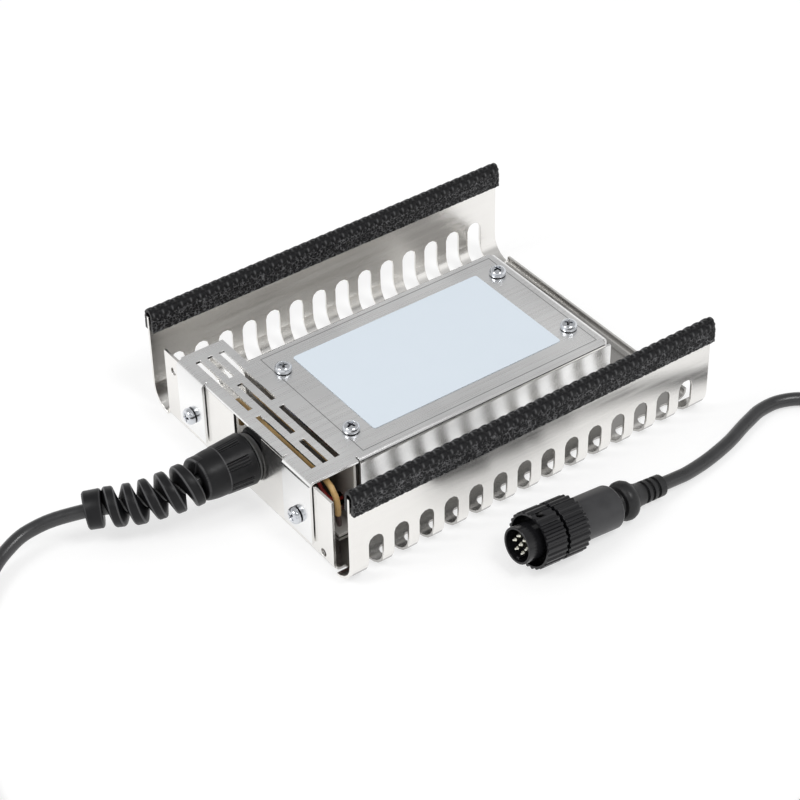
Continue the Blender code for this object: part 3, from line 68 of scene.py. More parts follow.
# Lead: 1.8 m of round 4.8 mm flexible lead with a smooth black jacket. It droops from the
# relief to the bench, runs to a neat coil in two and a half layers, and comes back to the plug.
LEAD_RADIUS = 2.4 * MM
RELIEF_SIDE = [
    (-68.2, -1.8, 16.5), (-82, -1.8, 16.5), (-95, -1.7, 16.4), (-102, -0.9, 15.7), (-109, 1.2, 14.5),
    (-116, 4, 13.4), (-131, 12.2, 12.1), (-148, 17.8, 8.8), (-157.2, 16.2, 6.7), (-166.2, 11.2, 4.8),
    (-174.7, 3, 3.4), (-182.5, -6.9, 2.6), (-194.2, -24, 2.4), (-208.2, -57, 2.4), (-212.1, -75, 2.4),
    (-211, -95, 2.4), (-205.8, -114, 2.4), (-196.9, -139, 3.4), (-196.3, -149, 3.7),
]
PLUG_SIDE = [
    (-183.3, -198.7, 4.1), (-172.5, -204, 2.8), (-160, -205.9, 2.4), (-115, -208, 2.4), (-52, -213, 2.4),
    (-24.2, -214.7, 2.4), (4, -200.6, 2.4), (36, -171.5, 2.4), (68, -142.5, 2.4), (96.2, -117.4, 2.4),
    (104.6, -109, 2.4), (110, -99.6, 2.4), (110.9, -88.9, 2.4), (106.6, -79.9, 2.4), (98.9, -74.4, 2.4),
    (89.7, -73.2, 2.4), (81.2, -75.2, 2.4), (66, -80.2, 2.4), (46, -84, 3.2), (39.5, -84.35, 3.93),
    (33.22, -84.53, 4.73),
]
COIL_PLACE = (-165, -167)
COIL_LOW = 3.7
COIL_RISE = 4.157
COIL_STATIONS = np.array([
    (0, 31.3, 0), (0.92, 31.3, 0), (1.08, 26.5, 0), (1.92, 26.5, 0), (2.08, 21.7, 0), (2.9, 21.7, 0),
    (3.1, 24.1, 1), (3.92, 24.1, 1), (4.08, 28.9, 1), (4.88, 28.9, 1), (5.1, 26.5, 2), (5.88, 26.5, 2),
    (5.95, 28.0, 2.14), (6.0, 30.3, 2.05), (6.05, 32.7, 1.66), (6.1, 34.4, 0.93), (6.15, 35.8, 0.46),
])


def coil_line(steps_per_turn):
    """Points round the coil: radius and layer run straight between stations of (turns, radius,
    layer), and are averaged over a tenth of a turn, so that each change of layer is a soft ramp."""
    turns = np.arange(0, COIL_STATIONS[-1, 0] - 0.02, 1 / steps_per_turn)
    nearby = turns[:, None] + np.linspace(-0.05, 0.05, 11)
    radius = np.interp(nearby, COIL_STATIONS[:, 0], COIL_STATIONS[:, 1]).mean(1)
    layer = np.interp(nearby, COIL_STATIONS[:, 0], COIL_STATIONS[:, 2]).mean(1)
    angle = math.pi + 2 * math.pi * turns
    return np.stack([COIL_PLACE[0] + radius * np.cos(angle), COIL_PLACE[1] + radius * np.sin(angle),
                     COIL_LOW + COIL_RISE * layer], axis=1)


def tube_along(name, points, radius, steps):
    """A round tube on one smooth open spline through the points, closed at its ends."""
    curve = bpy.data.curves.new(name, "CURVE")
    curve.dimensions = "3D"
    curve.bevel_depth = radius
    curve.bevel_resolution = steps
    curve.use_fill_caps = True
    curve.resolution_u = 6
    spline = curve.splines.new("BEZIER")
    spline.bezier_points.add(len(points) - 1)
    spline.bezier_points.foreach_set("co", np.asarray(points, np.float32).ravel())
    for point in spline.bezier_points:
        point.handle_left_type = "AUTO"
        point.handle_right_type = "AUTO"
    made = bpy.data.objects.new(name, curve)
    bpy.context.scene.collection.objects.link(made)
    return made


def finish(name, colour, metallic, roughness, **sockets):
    """A material with these plain values on its shader, and its nodes ready for more."""
    made = bpy.data.materials.new(name)
    made.use_nodes = True
    shader = made.node_tree.nodes["Principled BSDF"]
    plain = {"Base Color": (*colour, 1), "Metallic": metallic, "Roughness": roughness}
    for key, value in {**plain, **sockets}.items():
        shader.inputs[key].default_value = value
    return made


def add(material, kind, inputs=None, **settings):
    """One node in a material. An input that is another node's output is wired to it."""
    made = material.node_tree.nodes.new("ShaderNode" + kind)
    for key, value in settings.items():
        setattr(made, key, value)
    for key, value in (inputs or {}).items():
        if isinstance(value, bpy.types.NodeSocket):
            material.node_tree.links.new(value, made.inputs[key])
        else:
            made.inputs[key].default_value = value
    return made


def patches(material, scale, detail=3, stretch=(1, 1, 1)):
    """Soft random patches in object space, some 1 / scale metres wide, from 0 to 1."""
    place = add(material, "TexCoord").outputs["Object"]
    if stretch != (1, 1, 1):
        place = add(material, "Mapping", {"Vector": place, "Scale": stretch}).outputs["Vector"]
    noise = add(material, "TexNoise", {"Vector": place, "Scale": scale, "Detail": detail})
    return noise.outputs["Fac"]


def spread(material, value, low, high, start=0.3, end=0.7):
    """A value from start to end carried to one from low to high."""
    ranged = add(material, "MapRange", {"Value": value, "From Min": start, "From Max": end,
                                        "To Min": low, "To Max": high})
    return ranged.outputs["Result"]


def shade(material, value, dark, light):
    """A colour between dark and light, by a value from 0 to 1."""
    mixed = add(material, "Mix", data_type="RGBA")
    wire(material, value, mixed.inputs["Factor"])
    mixed.inputs["A"].default_value = (*dark, 1)
    mixed.inputs["B"].default_value = (*light, 1)
    return mixed.outputs["Result"]


def wire(material, output, socket):
    """Joins an output to an input."""
    material.node_tree.links.new(output, socket)


def surface(material, colour, roughness, height=None, depth=0.0):
    """Wires a colour, a roughness and a relief to the material's shader. The relief's height goes
    from 0 to 1, and is this deep in metres."""
    inputs = material.node_tree.nodes["Principled BSDF"].inputs
    wire(material, colour, inputs["Base Color"])
    wire(material, roughness, inputs["Roughness"])
    if height is not None:
        bump = add(material, "Bump", {"Height": height, "Distance": depth, "Strength": 1.0})
        wire(material, bump.outputs["Normal"], inputs["Normal"])


jacket = finish("lead_jacket", (0.028, 0.028, 0.03), 0, 0.32, **{"Specular IOR Level": 0.8})
jacket_wear = patches(jacket, 260)
surface(jacket, shade(jacket, jacket_wear, (0.008, 0.008, 0.009), (0.022, 0.022, 0.024)),
        spread(jacket, jacket_wear, 0.26, 0.38), patches(jacket, 2600, 4), 0.012 * MM)

route = np.vstack([RELIEF_SIDE, coil_line(steps_per_turn=16)[1:], PLUG_SIDE]) * MM
lead = tube_along("lead", route, LEAD_RADIUS, steps=6)
lead.data.materials.append(jacket)
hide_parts("cord_gland_side", "cord_coil", "cord_plug_side")
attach(lead, "plate")


# Tray: one sheet of 1 mm bright rolled stainless, slotted along both walls, then folded up. Its
# cut edges are broken, so they catch a thin line of light. Inside its near channel and the bay at
# its right end, painted shade darkens the steel's colour.
SAME_CORNER = 0.001 * MM
SAME_PLANE = math.radians(0.6)


def merged_copy(node, edge, turn=30):
    """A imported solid's triangles joined at their shared corners, with its flat faces whole again
    and its sharp edges rounded by this much. Smooth runs take their shading from the larger face."""
    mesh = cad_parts[node].data.copy()
    work = bmesh.new()
    work.from_mesh(mesh)
    bmesh.ops.remove_doubles(work, verts=work.verts, dist=SAME_CORNER)
    bmesh.ops.dissolve_limit(work, angle_limit=SAME_PLANE, verts=work.verts, edges=work.edges)
    work.to_mesh(mesh)
    work.free()
    mesh.materials.clear()
    mesh.shade_smooth()
    mesh.set_sharp_from_angle(angle=math.radians(turn))
    made = bpy.data.objects.new(f"{node}_dressed", mesh)
    bpy.context.scene.collection.objects.link(made)
    if edge:
        rounding = made.modifiers.new("edges", "BEVEL")
        rounding.width = edge
        rounding.segments = 2
        rounding.limit_method = "ANGLE"
        rounding.angle_limit = math.radians(turn)
    weighing = made.modifiers.new("flat faces", "WEIGHTED_NORMAL")
    weighing.keep_sharp = True
    return made


def seat(piece, material, slot, *nodes, body="plate"):
    """The piece takes its material, stands for these nodes and rides with their body."""
    piece.data.materials.append(material)
    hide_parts(*nodes)
    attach(piece, body)


SHEET_EDGE = 0.12 * MM
# Boxes, in mm, inside which shade is painted into the tray's colour.
NEAR_CHANNEL = (("Y", 0, 1, -59.1, -58.9), ("Y", 1, 0, -40, -20), ("Z", 1, 0, 8, 22),
                ("X", 0, 1, -73.8, -73.6))
RIGHT_BAY = (("Y", 0, 1, -59.1, -58.9), ("Y", 1, 0, 48, 56), ("Z", 1, 0, 8, 22),
             ("X", 0, 1, 46, 54), ("X", 1, 0, 74.1, 74.3))


def laid_over(material, amount, base, colour):
    """A plain colour laid over another output by an amount from 0 to 1."""
    mixed = add(material, "Mix", data_type="RGBA")
    wire(material, amount, mixed.inputs["Factor"])
    wire(material, base, mixed.inputs["A"])
    mixed.inputs["B"].default_value = (*colour, 1)
    return mixed.outputs["Result"]


def combine(material, operation, *values):
    """One arithmetic node over these numbers and outputs."""
    return add(material, "Math", dict(enumerate(values)), operation=operation).outputs[0]


def object_axes(material):
    """Where a point lies in its object, in metres, as outputs named X, Y and Z."""
    place = add(material, "TexCoord").outputs["Object"]
    return add(material, "SeparateXYZ", {"Vector": place}).outputs


def inside_of(material, place, ramps):
    """1 inside a box with soft sides and 0 outside it: the product of its ramps. Each goes from low
    to high along an axis, between its start and its end in mm."""
    inside = 1.0
    for axis, low, high, start, end in ramps:
        ramp = spread(material, place[axis], low, high, start * MM, end * MM)
        inside = combine(material, "MULTIPLY", inside, ramp)
    return inside


bright_steel = finish("bright_steel", (0.88, 0.865, 0.84), 1, 0.16)
steel_grain = patches(bright_steel, 600, 4, (0.05, 1, 1))
steel_cloud = patches(bright_steel, 45, 3)
tray_place = object_axes(bright_steel)
# Painted shade: the steel is darker inside the near channel and the right bay.
painted_channel_shade = combine(bright_steel, "MAXIMUM", inside_of(bright_steel, tray_place, NEAR_CHANNEL),
               inside_of(bright_steel, tray_place, RIGHT_BAY))
rolled = shade(bright_steel, steel_cloud, (0.84, 0.825, 0.80), (0.92, 0.905, 0.88))
surface(bright_steel, laid_over(bright_steel, painted_channel_shade, rolled, (0.46, 0.45, 0.435)),
        spread(bright_steel, steel_grain, 0.18, 0.27), steel_cloud, 0.02 * MM)
seat(merged_copy("tray", SHEET_EDGE), bright_steel, "steel_sheet", "tray")


# Edge trims: extruded black rubber pushed over each wall's top edge, open at the end near the
# lead. The crown is moulded with knobs along its top and both shoulders, over a pebbled skin.
TRIM_HALF = 2.6
TRIM_FOOT = 31.6
TRIM_TOP = 40.4
TRIM_WALL = 1.25
TRIM_ENDS = (-74.6, 75.5)
TRIM_MIDDLE = 59.5
TRIM_ROUNDING = 0.9
KNOB_PITCH = 3.75
KNOB_ROW = 3.1
KNOB_DEPTH = 0.5
PIT_DEPTH = 0.3


def woven(name, points, close_rows=False, turn=40, **values):
    """Mesh over a grid of points (rows, columns, xyz) with one face in each cell. Each row closes
    on itself, and the last row may close on the first. Points that meet, as at a pole, become one,
    and an open end is filled. Each named value is one number per point for the material to read."""
    index = np.arange(points.shape[0] * points.shape[1]).reshape(points.shape[:2])
    if close_rows:
        index = np.vstack([index, index[:1]])
    index = np.hstack([index, index[:, :1]])
    faces = np.stack([index[:-1, :-1], index[:-1, 1:], index[1:, 1:], index[1:, :-1]], axis=-1)
    mesh = bpy.data.meshes.new(name)
    mesh.from_pydata(points.reshape(-1, 3), [], faces.reshape(-1, 4))
    for key, value in values.items():
        layer = mesh.attributes.new(key, "FLOAT", "POINT")
        layer.data.foreach_set("value", np.broadcast_to(value, points.shape[:2]).astype(np.float32).ravel())
    work = bmesh.new()
    work.from_mesh(mesh)
    bmesh.ops.remove_doubles(work, verts=work.verts, dist=0.0005 * MM)
    bmesh.ops.holes_fill(work, edges=[edge for edge in work.edges if edge.is_boundary])
    bmesh.ops.recalc_face_normals(work, faces=work.faces)
    work.to_mesh(mesh)
    work.free()
    mesh.shade_smooth()
    mesh.set_sharp_from_angle(angle=math.radians(turn))
    made = bpy.data.objects.new(name, mesh)
    bpy.context.scene.collection.objects.link(made)
    return made


def trim_section(samples):
    """Outline of the trim in (across, up), its outward directions, which are nought inside the
    slot, and the distance of each point from the crown's top along the skin. It goes up one side,
    over the crown, down the other side, and back through the slot."""
    knee = TRIM_TOP - TRIM_HALF
    turn = np.linspace(0, math.pi, samples)
    crown = np.stack([TRIM_HALF * np.cos(turn), knee + TRIM_HALF * np.sin(turn)], axis=1)
    drop = np.array([0, TRIM_FOOT - knee]) * np.linspace(0, 1, samples // 2 + 1)[1:, None]
    inner = TRIM_HALF - TRIM_WALL
    arc = np.linspace(math.pi, 0, samples // 3)
    hollow = np.stack([inner * np.cos(arc), knee + inner * np.sin(arc)], axis=1)
    lips = np.array([[-0.8, TRIM_FOOT], [-0.8, TRIM_FOOT + 3], [-inner, TRIM_FOOT + 3.6]])
    outline = np.vstack([(crown[0] + drop)[::-1], crown, crown[-1] + drop,
                         lips, hollow, (lips * [-1, 1])[::-1]])
    half = samples // 2
    rising, crossing = slice(half), slice(half, half + samples)
    falling = slice(half + samples, 2 * half + samples)
    outward = np.zeros_like(outline)
    outward[rising] = (1, 0)
    outward[crossing] = np.stack([np.cos(turn), np.sin(turn)], axis=1)
    outward[falling] = (-1, 0)
    quarter = TRIM_HALF * math.pi / 2
    along = np.zeros(len(outline))
    along[rising] = quarter + knee - outline[rising, 1]
    along[crossing] = TRIM_HALF * (math.pi / 2 - turn)
    along[falling] = outline[falling, 1] - knee - quarter
    return outline, outward, along


def trim_relief(x, along):
    """Depth of the skin in mm, its painted highlight and how pebbled it is, both from 0 to 1. A knob's
    height is the root of one less the squared distance from its middle over its reach. Knobs stand
    at an even pitch along both shoulders and half a pitch on along the top, each with a spot of
    painted highlight, and a web of painted highlight lies between those of the shoulders. Below them
    small pits lie like bricks."""
    knob = np.zeros(np.broadcast(x, along).shape)
    knob_highlight = knob.copy()
    for row, shift, reach in ((KNOB_ROW, 0.0, 1.7), (-KNOB_ROW, 0.0, 1.7), (0.0, 0.5, 1.8)):
        beside = ((x / KNOB_PITCH + shift) % 1 - 0.5) * KNOB_PITCH
        knob = np.maximum(knob, np.sqrt(np.clip(1 - (np.hypot(beside, along - row) / reach) ** 2, 0, 1)))
        knob_highlight = np.maximum(knob_highlight, np.exp(-((beside + 0.5) / 0.28) ** 2 - ((along - row) / 0.75) ** 2))
    web_highlight = np.exp(-(((x / KNOB_PITCH + 0.5) % 1 - 0.5) * KNOB_PITCH / 0.22) ** 2)
    web_highlight = web_highlight * np.exp(-((np.abs(along) - KNOB_ROW - 1.2) / 0.7) ** 4)
    side = np.clip((np.abs(along) - 4.3) / 0.5, 0, 1)
    sway = 0.3 * np.sin(x * 2.1 + along * 3.0) + 0.25 * np.sin(x * 5.3 - along * 4.1)
    row = np.abs(along) / 1.05 + 0.3 * sway
    pit_x = (x / 1.9 + 0.5 * (np.floor(row) % 2) + 0.5 * sway) % 1 - 0.5
    pit = np.exp(-((pit_x / 0.32) ** 4 + ((row % 1 - 0.5) / 0.34) ** 4))
    depth = (1 - side) * KNOB_DEPTH * (1 - knob) + side * PIT_DEPTH * pit
    worn = (1 - side) * np.maximum(0.6 * web_highlight, 0.55 * knob_highlight)
    return depth, worn, side


def carried(material, name):
    """The value of this name that the mesh carries at a point, or 0 where it has none."""
    return add(material, "Attribute", attribute_name=name).outputs["Fac"]


# Painted highlights: the black rubber is lighter grey on its pebble ridges, on a spot by each knob and on
# the web between the knobs.
pebbled_rubber = finish("pebbled_rubber", (0.01, 0.01, 0.011), 0, 0.45, **{"Specular IOR Level": 0.25})
pebble_place = add(pebbled_rubber, "TexCoord").outputs["Object"]
pebble_cells = add(pebbled_rubber, "TexVoronoi", {"Vector": pebble_place, "Scale": 820.0},
                   feature="DISTANCE_TO_EDGE")
pebble_rim = spread(pebbled_rubber, pebble_cells.outputs["Distance"], 1, 0, 0.03, 0.16)
pebble_cloud = spread(pebbled_rubber, patches(pebbled_rubber, 700, 2), 0, 1, 0.42, 0.62)
ridge_relief_and_highlight = combine(pebbled_rubber, "MULTIPLY", pebble_rim, pebble_cloud)
ridge_relief_and_highlight = combine(pebbled_rubber, "MULTIPLY", ridge_relief_and_highlight, carried(pebbled_rubber, "pebbled"))
highlight_lines = combine(pebbled_rubber, "MAXIMUM", ridge_relief_and_highlight, carried(pebbled_rubber, "worn"))
surface(pebbled_rubber, shade(pebbled_rubber, highlight_lines, (0.004, 0.004, 0.005), (0.20, 0.20, 0.205)),
        spread(pebbled_rubber, pebble_cloud, 0.36, 0.5, 0, 1), ridge_relief_and_highlight, 0.25 * MM)

outline, outward, along = trim_section(samples=40)
outside = np.abs(outward).sum(1) > 0
from_end = TRIM_ROUNDING * np.array([1, 0.7, 0.4, 0.15, 0])
stations = np.concatenate([np.arange(TRIM_ENDS[0], TRIM_ENDS[1] - TRIM_ROUNDING, 0.25),
                           TRIM_ENDS[1] - from_end])
depth, worn, pebbled = trim_relief(stations[:, None], along[None])
rounded_off = np.sqrt(np.clip(TRIM_ROUNDING ** 2 - (TRIM_ROUNDING - from_end) ** 2, 0, None))
depth[-len(from_end):] += (TRIM_ROUNDING - rounded_off)[:, None]
for trim_node, side in (("trim_near", -1), ("trim_far", 1)):
    section = outline[None] - outward[None] * depth[..., None]
    section[..., 0] += side * TRIM_MIDDLE
    skin = np.dstack([np.broadcast_to(stations[:, None], depth.shape), section]) * MM
    seat(woven(f"{trim_node}_skin", skin, worn=worn * outside, pebbled=pebbled * outside),
         pebbled_rubber, "rubber_trim", trim_node)


# Heater box: a drilled aluminium spreader, a mica element under a stiff mica board, a pad of
# white fibre, a sensor and four zinc plated posts, held down by the cover. A folded steel end
# plate closes the box; shade is painted into its colour, dark inside and light at its near edge.
milled = finish("milled_aluminium", (0.75, 0.75, 0.76), 1, 0.3)
milled_lines = patches(milled, 700, 3, (1, 0.05, 1))
surface(milled, shade(milled, milled_lines, (0.68, 0.68, 0.70), (0.80, 0.80, 0.81)),
        spread(milled, milled_lines, 0.24, 0.4), milled_lines, 0.01 * MM)
mica = finish("pressed_mica", (0.45, 0.38, 0.28), 0, 0.45)
mica_flakes = patches(mica, 500, 4)
surface(mica, shade(mica, mica_flakes, (0.32, 0.25, 0.16), (0.58, 0.50, 0.38)),
        spread(mica, mica_flakes, 0.35, 0.6), mica_flakes, 0.03 * MM)
fibre = finish("fibre_pad", (0.78, 0.76, 0.70), 0, 0.95)
fibre_tufts = patches(fibre, 800, 5)
surface(fibre, shade(fibre, fibre_tufts, (0.62, 0.60, 0.54), (0.86, 0.84, 0.79)),
        spread(fibre, fibre_tufts, 0.85, 1.0), fibre_tufts, 0.15 * MM)
zinc = finish("zinc_plate", (0.6, 0.62, 0.66), 1, 0.18)
zinc_bloom = patches(zinc, 700, 3)
zinc_skin = shade(zinc, zinc_bloom, (0.58, 0.60, 0.64), (0.76, 0.78, 0.81))
# Painted shade: the screws' cross recesses and the undersides of their heads are darker.
surface(zinc, laid_over(zinc, carried(zinc, "recess"), zinc_skin, (0.05, 0.05, 0.055)),
        spread(zinc, zinc_bloom, 0.12, 0.24), zinc_bloom, 0.01 * MM)

seat(merged_copy("heat_spreader", edge=0.2 * MM), milled, "spreader_aluminium", "heat_spreader")
seat(merged_copy("heating_element", edge=0.1 * MM), mica, "mica_element", "heating_element")
seat(merged_copy("insulation_board", edge=0.1 * MM), mica, "mica_element", "insulation_board")
seat(merged_copy("insulation_pad", edge=0.3 * MM), fibre, "insulation_fibre", "insulation_pad")
seat(merged_copy("temperature_sensor", edge=0), zinc, "zinc_screw", "temperature_sensor")
for number in range(1, 5):
    seat(merged_copy(f"cover_post_{number}", edge=0.2 * MM), zinc, "zinc_screw", f"cover_post_{number}")
# Painted shade: the end plate's colour is dark inside the box and light only at its near edge.
shaded_plate_steel = finish("shade_painted_steel", (0.30, 0.28, 0.25), 0.45, 0.35)
lit_near_edge = spread(shaded_plate_steel, object_axes(shaded_plate_steel)["Y"], 1, 0, -40 * MM, -28 * MM)
surface(shaded_plate_steel, shade(shaded_plate_steel, lit_near_edge, (0.13, 0.115, 0.10), (0.92, 0.90, 0.86)),
        spread(shaded_plate_steel, lit_near_edge, 0.3, 0.6, 0, 1))
seat(merged_copy("end_plate", SHEET_EDGE), shaded_plate_steel, "steel_sheet", "end_plate")


# Cover: one sheet of 1 mm brushed stainless over the heater and the wiring space, with three
# rows of vent slots over the wires and two ears that fold down over the tray's end flap.
PRESS_BOX = ((-52.9, 44.3), (-36.4, 23.4))
PRESS_HALF_WIDTH = 0.11
SATIN_ABOVE = (30.3, 30.9)


def press_line(material, place, box, half_width):
    """1 on the four sides of a box in x and y, in mm, and 0 off them. Of the distances from its
    middle along x and along y, each less half the box's side, the larger is nought on the line."""
    outside = []
    for axis, (low, high) in zip("XY", box):
        shifted = combine(material, "SUBTRACT", place[axis], (low + high) / 2 * MM)
        distance = combine(material, "ABSOLUTE", shifted)
        outside.append(combine(material, "SUBTRACT", distance, (high - low) / 2 * MM))
    away = combine(material, "ABSOLUTE", combine(material, "MAXIMUM", *outside))
    return spread(material, away, 1, 0, half_width * MM, 1.6 * half_width * MM)


brushed_steel = finish("brushed_steel", (0.74, 0.74, 0.735), 1, 0.24)
brush_lines = patches(brushed_steel, 900, 4, (0.03, 1, 0.1))
brush_cloud = patches(brushed_steel, 24, 2, (1, 0.6, 1))
cover_place = object_axes(brushed_steel)
# Painted shade: a dark grey line along the cover's press crease.
crease_shade = press_line(brushed_steel, cover_place, PRESS_BOX, PRESS_HALF_WIDTH)
bare = shade(brushed_steel, spread(brushed_steel, brush_cloud, 0, 1, 0.38, 0.62),
             (0.80, 0.80, 0.80), (0.97, 0.97, 0.965))
flat_top = spread(brushed_steel, cover_place["Z"], 0, 1, SATIN_ABOVE[0] * MM, SATIN_ABOVE[1] * MM)
satin = add(brushed_steel, "Mix", {"Factor": flat_top, "A": spread(brushed_steel, brush_lines, 0.12, 0.22),
                                   "B": spread(brushed_steel, brush_lines, 0.22, 0.38)}, data_type="FLOAT")
surface(brushed_steel, laid_over(brushed_steel, crease_shade, bare, (0.30, 0.30, 0.30)),
        satin.outputs["Result"], brush_cloud, 0.08 * MM)
seat(merged_copy("cover", SHEET_EDGE), brushed_steel, "brushed_cover", "cover")


# Label: a thin plastic film, pale bluish white, cut with rounded corners. Its adhesive back holds
# it flat on the cover between the screws.
film = finish("label_film", (0.705, 0.78, 0.852), 0, 0.3)
film_grain = patches(film, 120, 2)
surface(film, shade(film, film_grain, (0.70, 0.774, 0.846), (0.712, 0.785, 0.857)),
        spread(film, film_grain, 0.30, 0.36), patches(film, 3000, 3), 0.003 * MM)
seat(merged_copy("label", edge=0.03 * MM), film, "label_film", "label")


# Screws, nuts and earth lug: M3 pan heads with a cross recess hold the cover to its posts and
# its ears to the end flap. All are bright zinc plated steel.
HEAD_RADIUS = 3.0
HEAD_CURVE = 3.08
HEAD_HEIGHT = 2.2
HEAD_RINGS = 50
SHANK_RADIUS = 1.4
CROSS_REACH = 1.8
CROSS_HALF = 0.42
CROSS_DEPTH = 1.3
CROSS_SHADE = 0.9
UNDER_SHADE = 0.7


def pan_screw(name, seat_place, axes, length, turned):
    """A screw on a grid of rings by angle. The head's height goes as the root of one less the sixth
    power of the radius, less a tapered cross whose arms grow shallow outwards. The cross and the
    head's underside carry how much shade is painted into their colour."""
    rings = HEAD_RADIUS * np.linspace(0, 1, HEAD_RINGS)
    crown = HEAD_HEIGHT * np.sqrt(1 - (rings / HEAD_CURVE) ** 6)
    tail = np.array([(2.98, 0.1), (2.9, 0), (SHANK_RADIUS, 0), (SHANK_RADIUS, 0.5 - length),
                     (SHANK_RADIUS - 0.5, -length), (0, -length)])
    radius = np.concatenate([rings, tail[:, 0]])[:, None]
    angle = np.linspace(0, 2 * math.pi, 97)[None, :-1]
    a, b = radius * np.cos(angle), radius * np.sin(angle)

    def arm(u, v):
        across = np.clip((CROSS_HALF - np.abs(v)) / 0.12, 0, 1)
        return across * np.clip((CROSS_REACH - np.abs(u)) / 0.9, 0, 1)

    number = np.arange(len(radius))[:, None]
    cross = CROSS_DEPTH * np.maximum(arm(a, b), arm(b, a)) * (number < HEAD_RINGS)
    up = np.concatenate([crown, tail[:, 1]])[:, None] - cross
    c, d = math.cos(turned), math.sin(turned)
    first, second, third = np.array(axes, float)
    grid = np.array(seat_place) + (a * c - b * d)[..., None] * first + (a * d + b * c)[..., None] * second
    # Painted shade: darkest in the cross, and under the head.
    dark = cross / CROSS_DEPTH * CROSS_SHADE + (number > HEAD_RINGS) * UNDER_SHADE
    return woven(name, (grid + up[..., None] * third) * MM, turn=35, recess=dark)


FACING_UP = ((1, 0, 0), (0, 1, 0), (0, 0, 1))
FACING_LEFT = ((0, 1, 0), (0, 0, 1), (-1, 0, 0))
for node, place, axes, length, turned in (
    ("cover_screw_1", (-50, -25.5, 31.3), FACING_UP, 10, 0.35),
    ("cover_screw_2", (-50, 14, 31.3), FACING_UP, 10, 1.1),
    ("cover_screw_3", (41, -25.5, 31.3), FACING_UP, 10, 0.75),
    ("cover_screw_4", (41, 14, 31.3), FACING_UP, 10, 0.1),
    ("ear_screw_1", (-76.6, -31.7, 12.8), FACING_LEFT, 6.5, 0.5),
    ("ear_screw_2", (-76.6, 32, 12.8), FACING_LEFT, 6.5, 1.2),
):
    seat(pan_screw(f"{node}_turned", place, axes, length, turned), zinc, "zinc_screw", node)
for node in ("ear_nut_1", "ear_nut_2", "earth_lug"):
    seat(merged_copy(node, edge=0.06 * MM), zinc, "zinc_screw", node)


# Cable gland and its spiral strain relief: black nylon mouldings, on a body whose lighter grey is
# painted light on its face, screwed together through the open notch of the end flap. The nut, the
# spiral and the collar are one moulding, and a tie of the same nylon holds the coil.
GLAND_PLACE = (-75.4, -1.8, 16.5)
NUT_ENDS = (0.9, 19.6)
NUT_WIDE = 9.2
NUT_BORE = 3.2
NUT_HOLLOW = 6.6
NUT_GRIP = (3.4, 11.6)
NUT_PANELS = 7
NUT_TURN = math.radians(141)
GROOVE_DEPTH = 0.5
SPIRAL_PITCH = 6.25
SPIRAL_LENGTH = 33.2
SPIRAL_TAPER = 0.15
SPIRAL_SUNK = 1.6
COLLAR_GAP = 0.9


def nut_surface():
    """Grid of the cap nut and its painted highlight: rings of (distance, radius, painted highlight)
    along its axis, closed through the bore, by angle. The radius falls evenly over the grip, steps
    down to the dome, falls there with the power 2.2 and rounds off at the tip. At each border between
    panels two narrow grooves, of fourth power bell section, run along the grip, and the ridges
    between them carry painted highlight."""
    base, tip = NUT_ENDS
    # The third value of each ring is painted highlight, on the nut's rims and edges.
    outer = np.array([(base, 8.7, 0), (1.4, NUT_WIDE, 0.3), (1.6, NUT_WIDE, 0)]
                     + [(t, NUT_WIDE - 0.065 * (t - 1.4), 0) for t in np.linspace(1.9, 11.5, 40)]
                     + [(11.7, 8.5, 0.7), (11.9, 8.4, 0.9), (12.1, 8.36, 0)]
                     + [(12.4 + 6.4 * u, 8.35 - 0.75 * u ** 2.2, 0) for u in np.linspace(0, 1, 16)]
                     + [(19.1, 7.45, 0.5), (19.4, 7.15, 0.7), (tip, 6.8, 0.2)])
    inner = np.array([(tip, NUT_BORE, 0), (11.0, NUT_BORE, 0), (9.0, NUT_HOLLOW, 0), (base, NUT_HOLLOW, 0)])
    rings = np.vstack([outer, inner])
    angle = np.linspace(0, 2 * math.pi, 505)[:-1]
    beside = ((angle - NUT_TURN) * NUT_PANELS / (2 * math.pi) + 0.5) % 1 - 0.5
    beside = np.abs(beside * 2 * math.pi / NUT_PANELS * NUT_WIDE)
    groove = np.exp(-((beside - 0.62) / 0.26) ** 4) + np.exp(-((beside - 1.45) / 0.2) ** 4)
    # Painted highlight along the ridges between the grooves.
    ridge_highlight = np.exp(-((beside - 1.0) / 0.12) ** 2) + 0.7 * np.exp(-(beside / 0.2) ** 2)
    t, radius, worn = rings.T
    here = np.clip((t - NUT_GRIP[0]) / 0.5, 0, 1) * np.clip((NUT_GRIP[1] - t) / 0.5, 0, 1)
    here = here * (np.arange(len(t)) < len(outer))
    radius = radius[:, None] - GROOVE_DEPTH * here[:, None] * groove
    high = np.maximum(worn[:, None] * (1 - 0.5 * groove.clip(0, 1)), 0.45 * here[:, None] * ridge_highlight)
    x = GLAND_PLACE[0] - np.broadcast_to(t[:, None], radius.shape)
    y, z = GLAND_PLACE[1] + radius * np.cos(angle), GLAND_PLACE[2] + radius * np.sin(angle)
    return np.stack([x, y, z], axis=-1), high


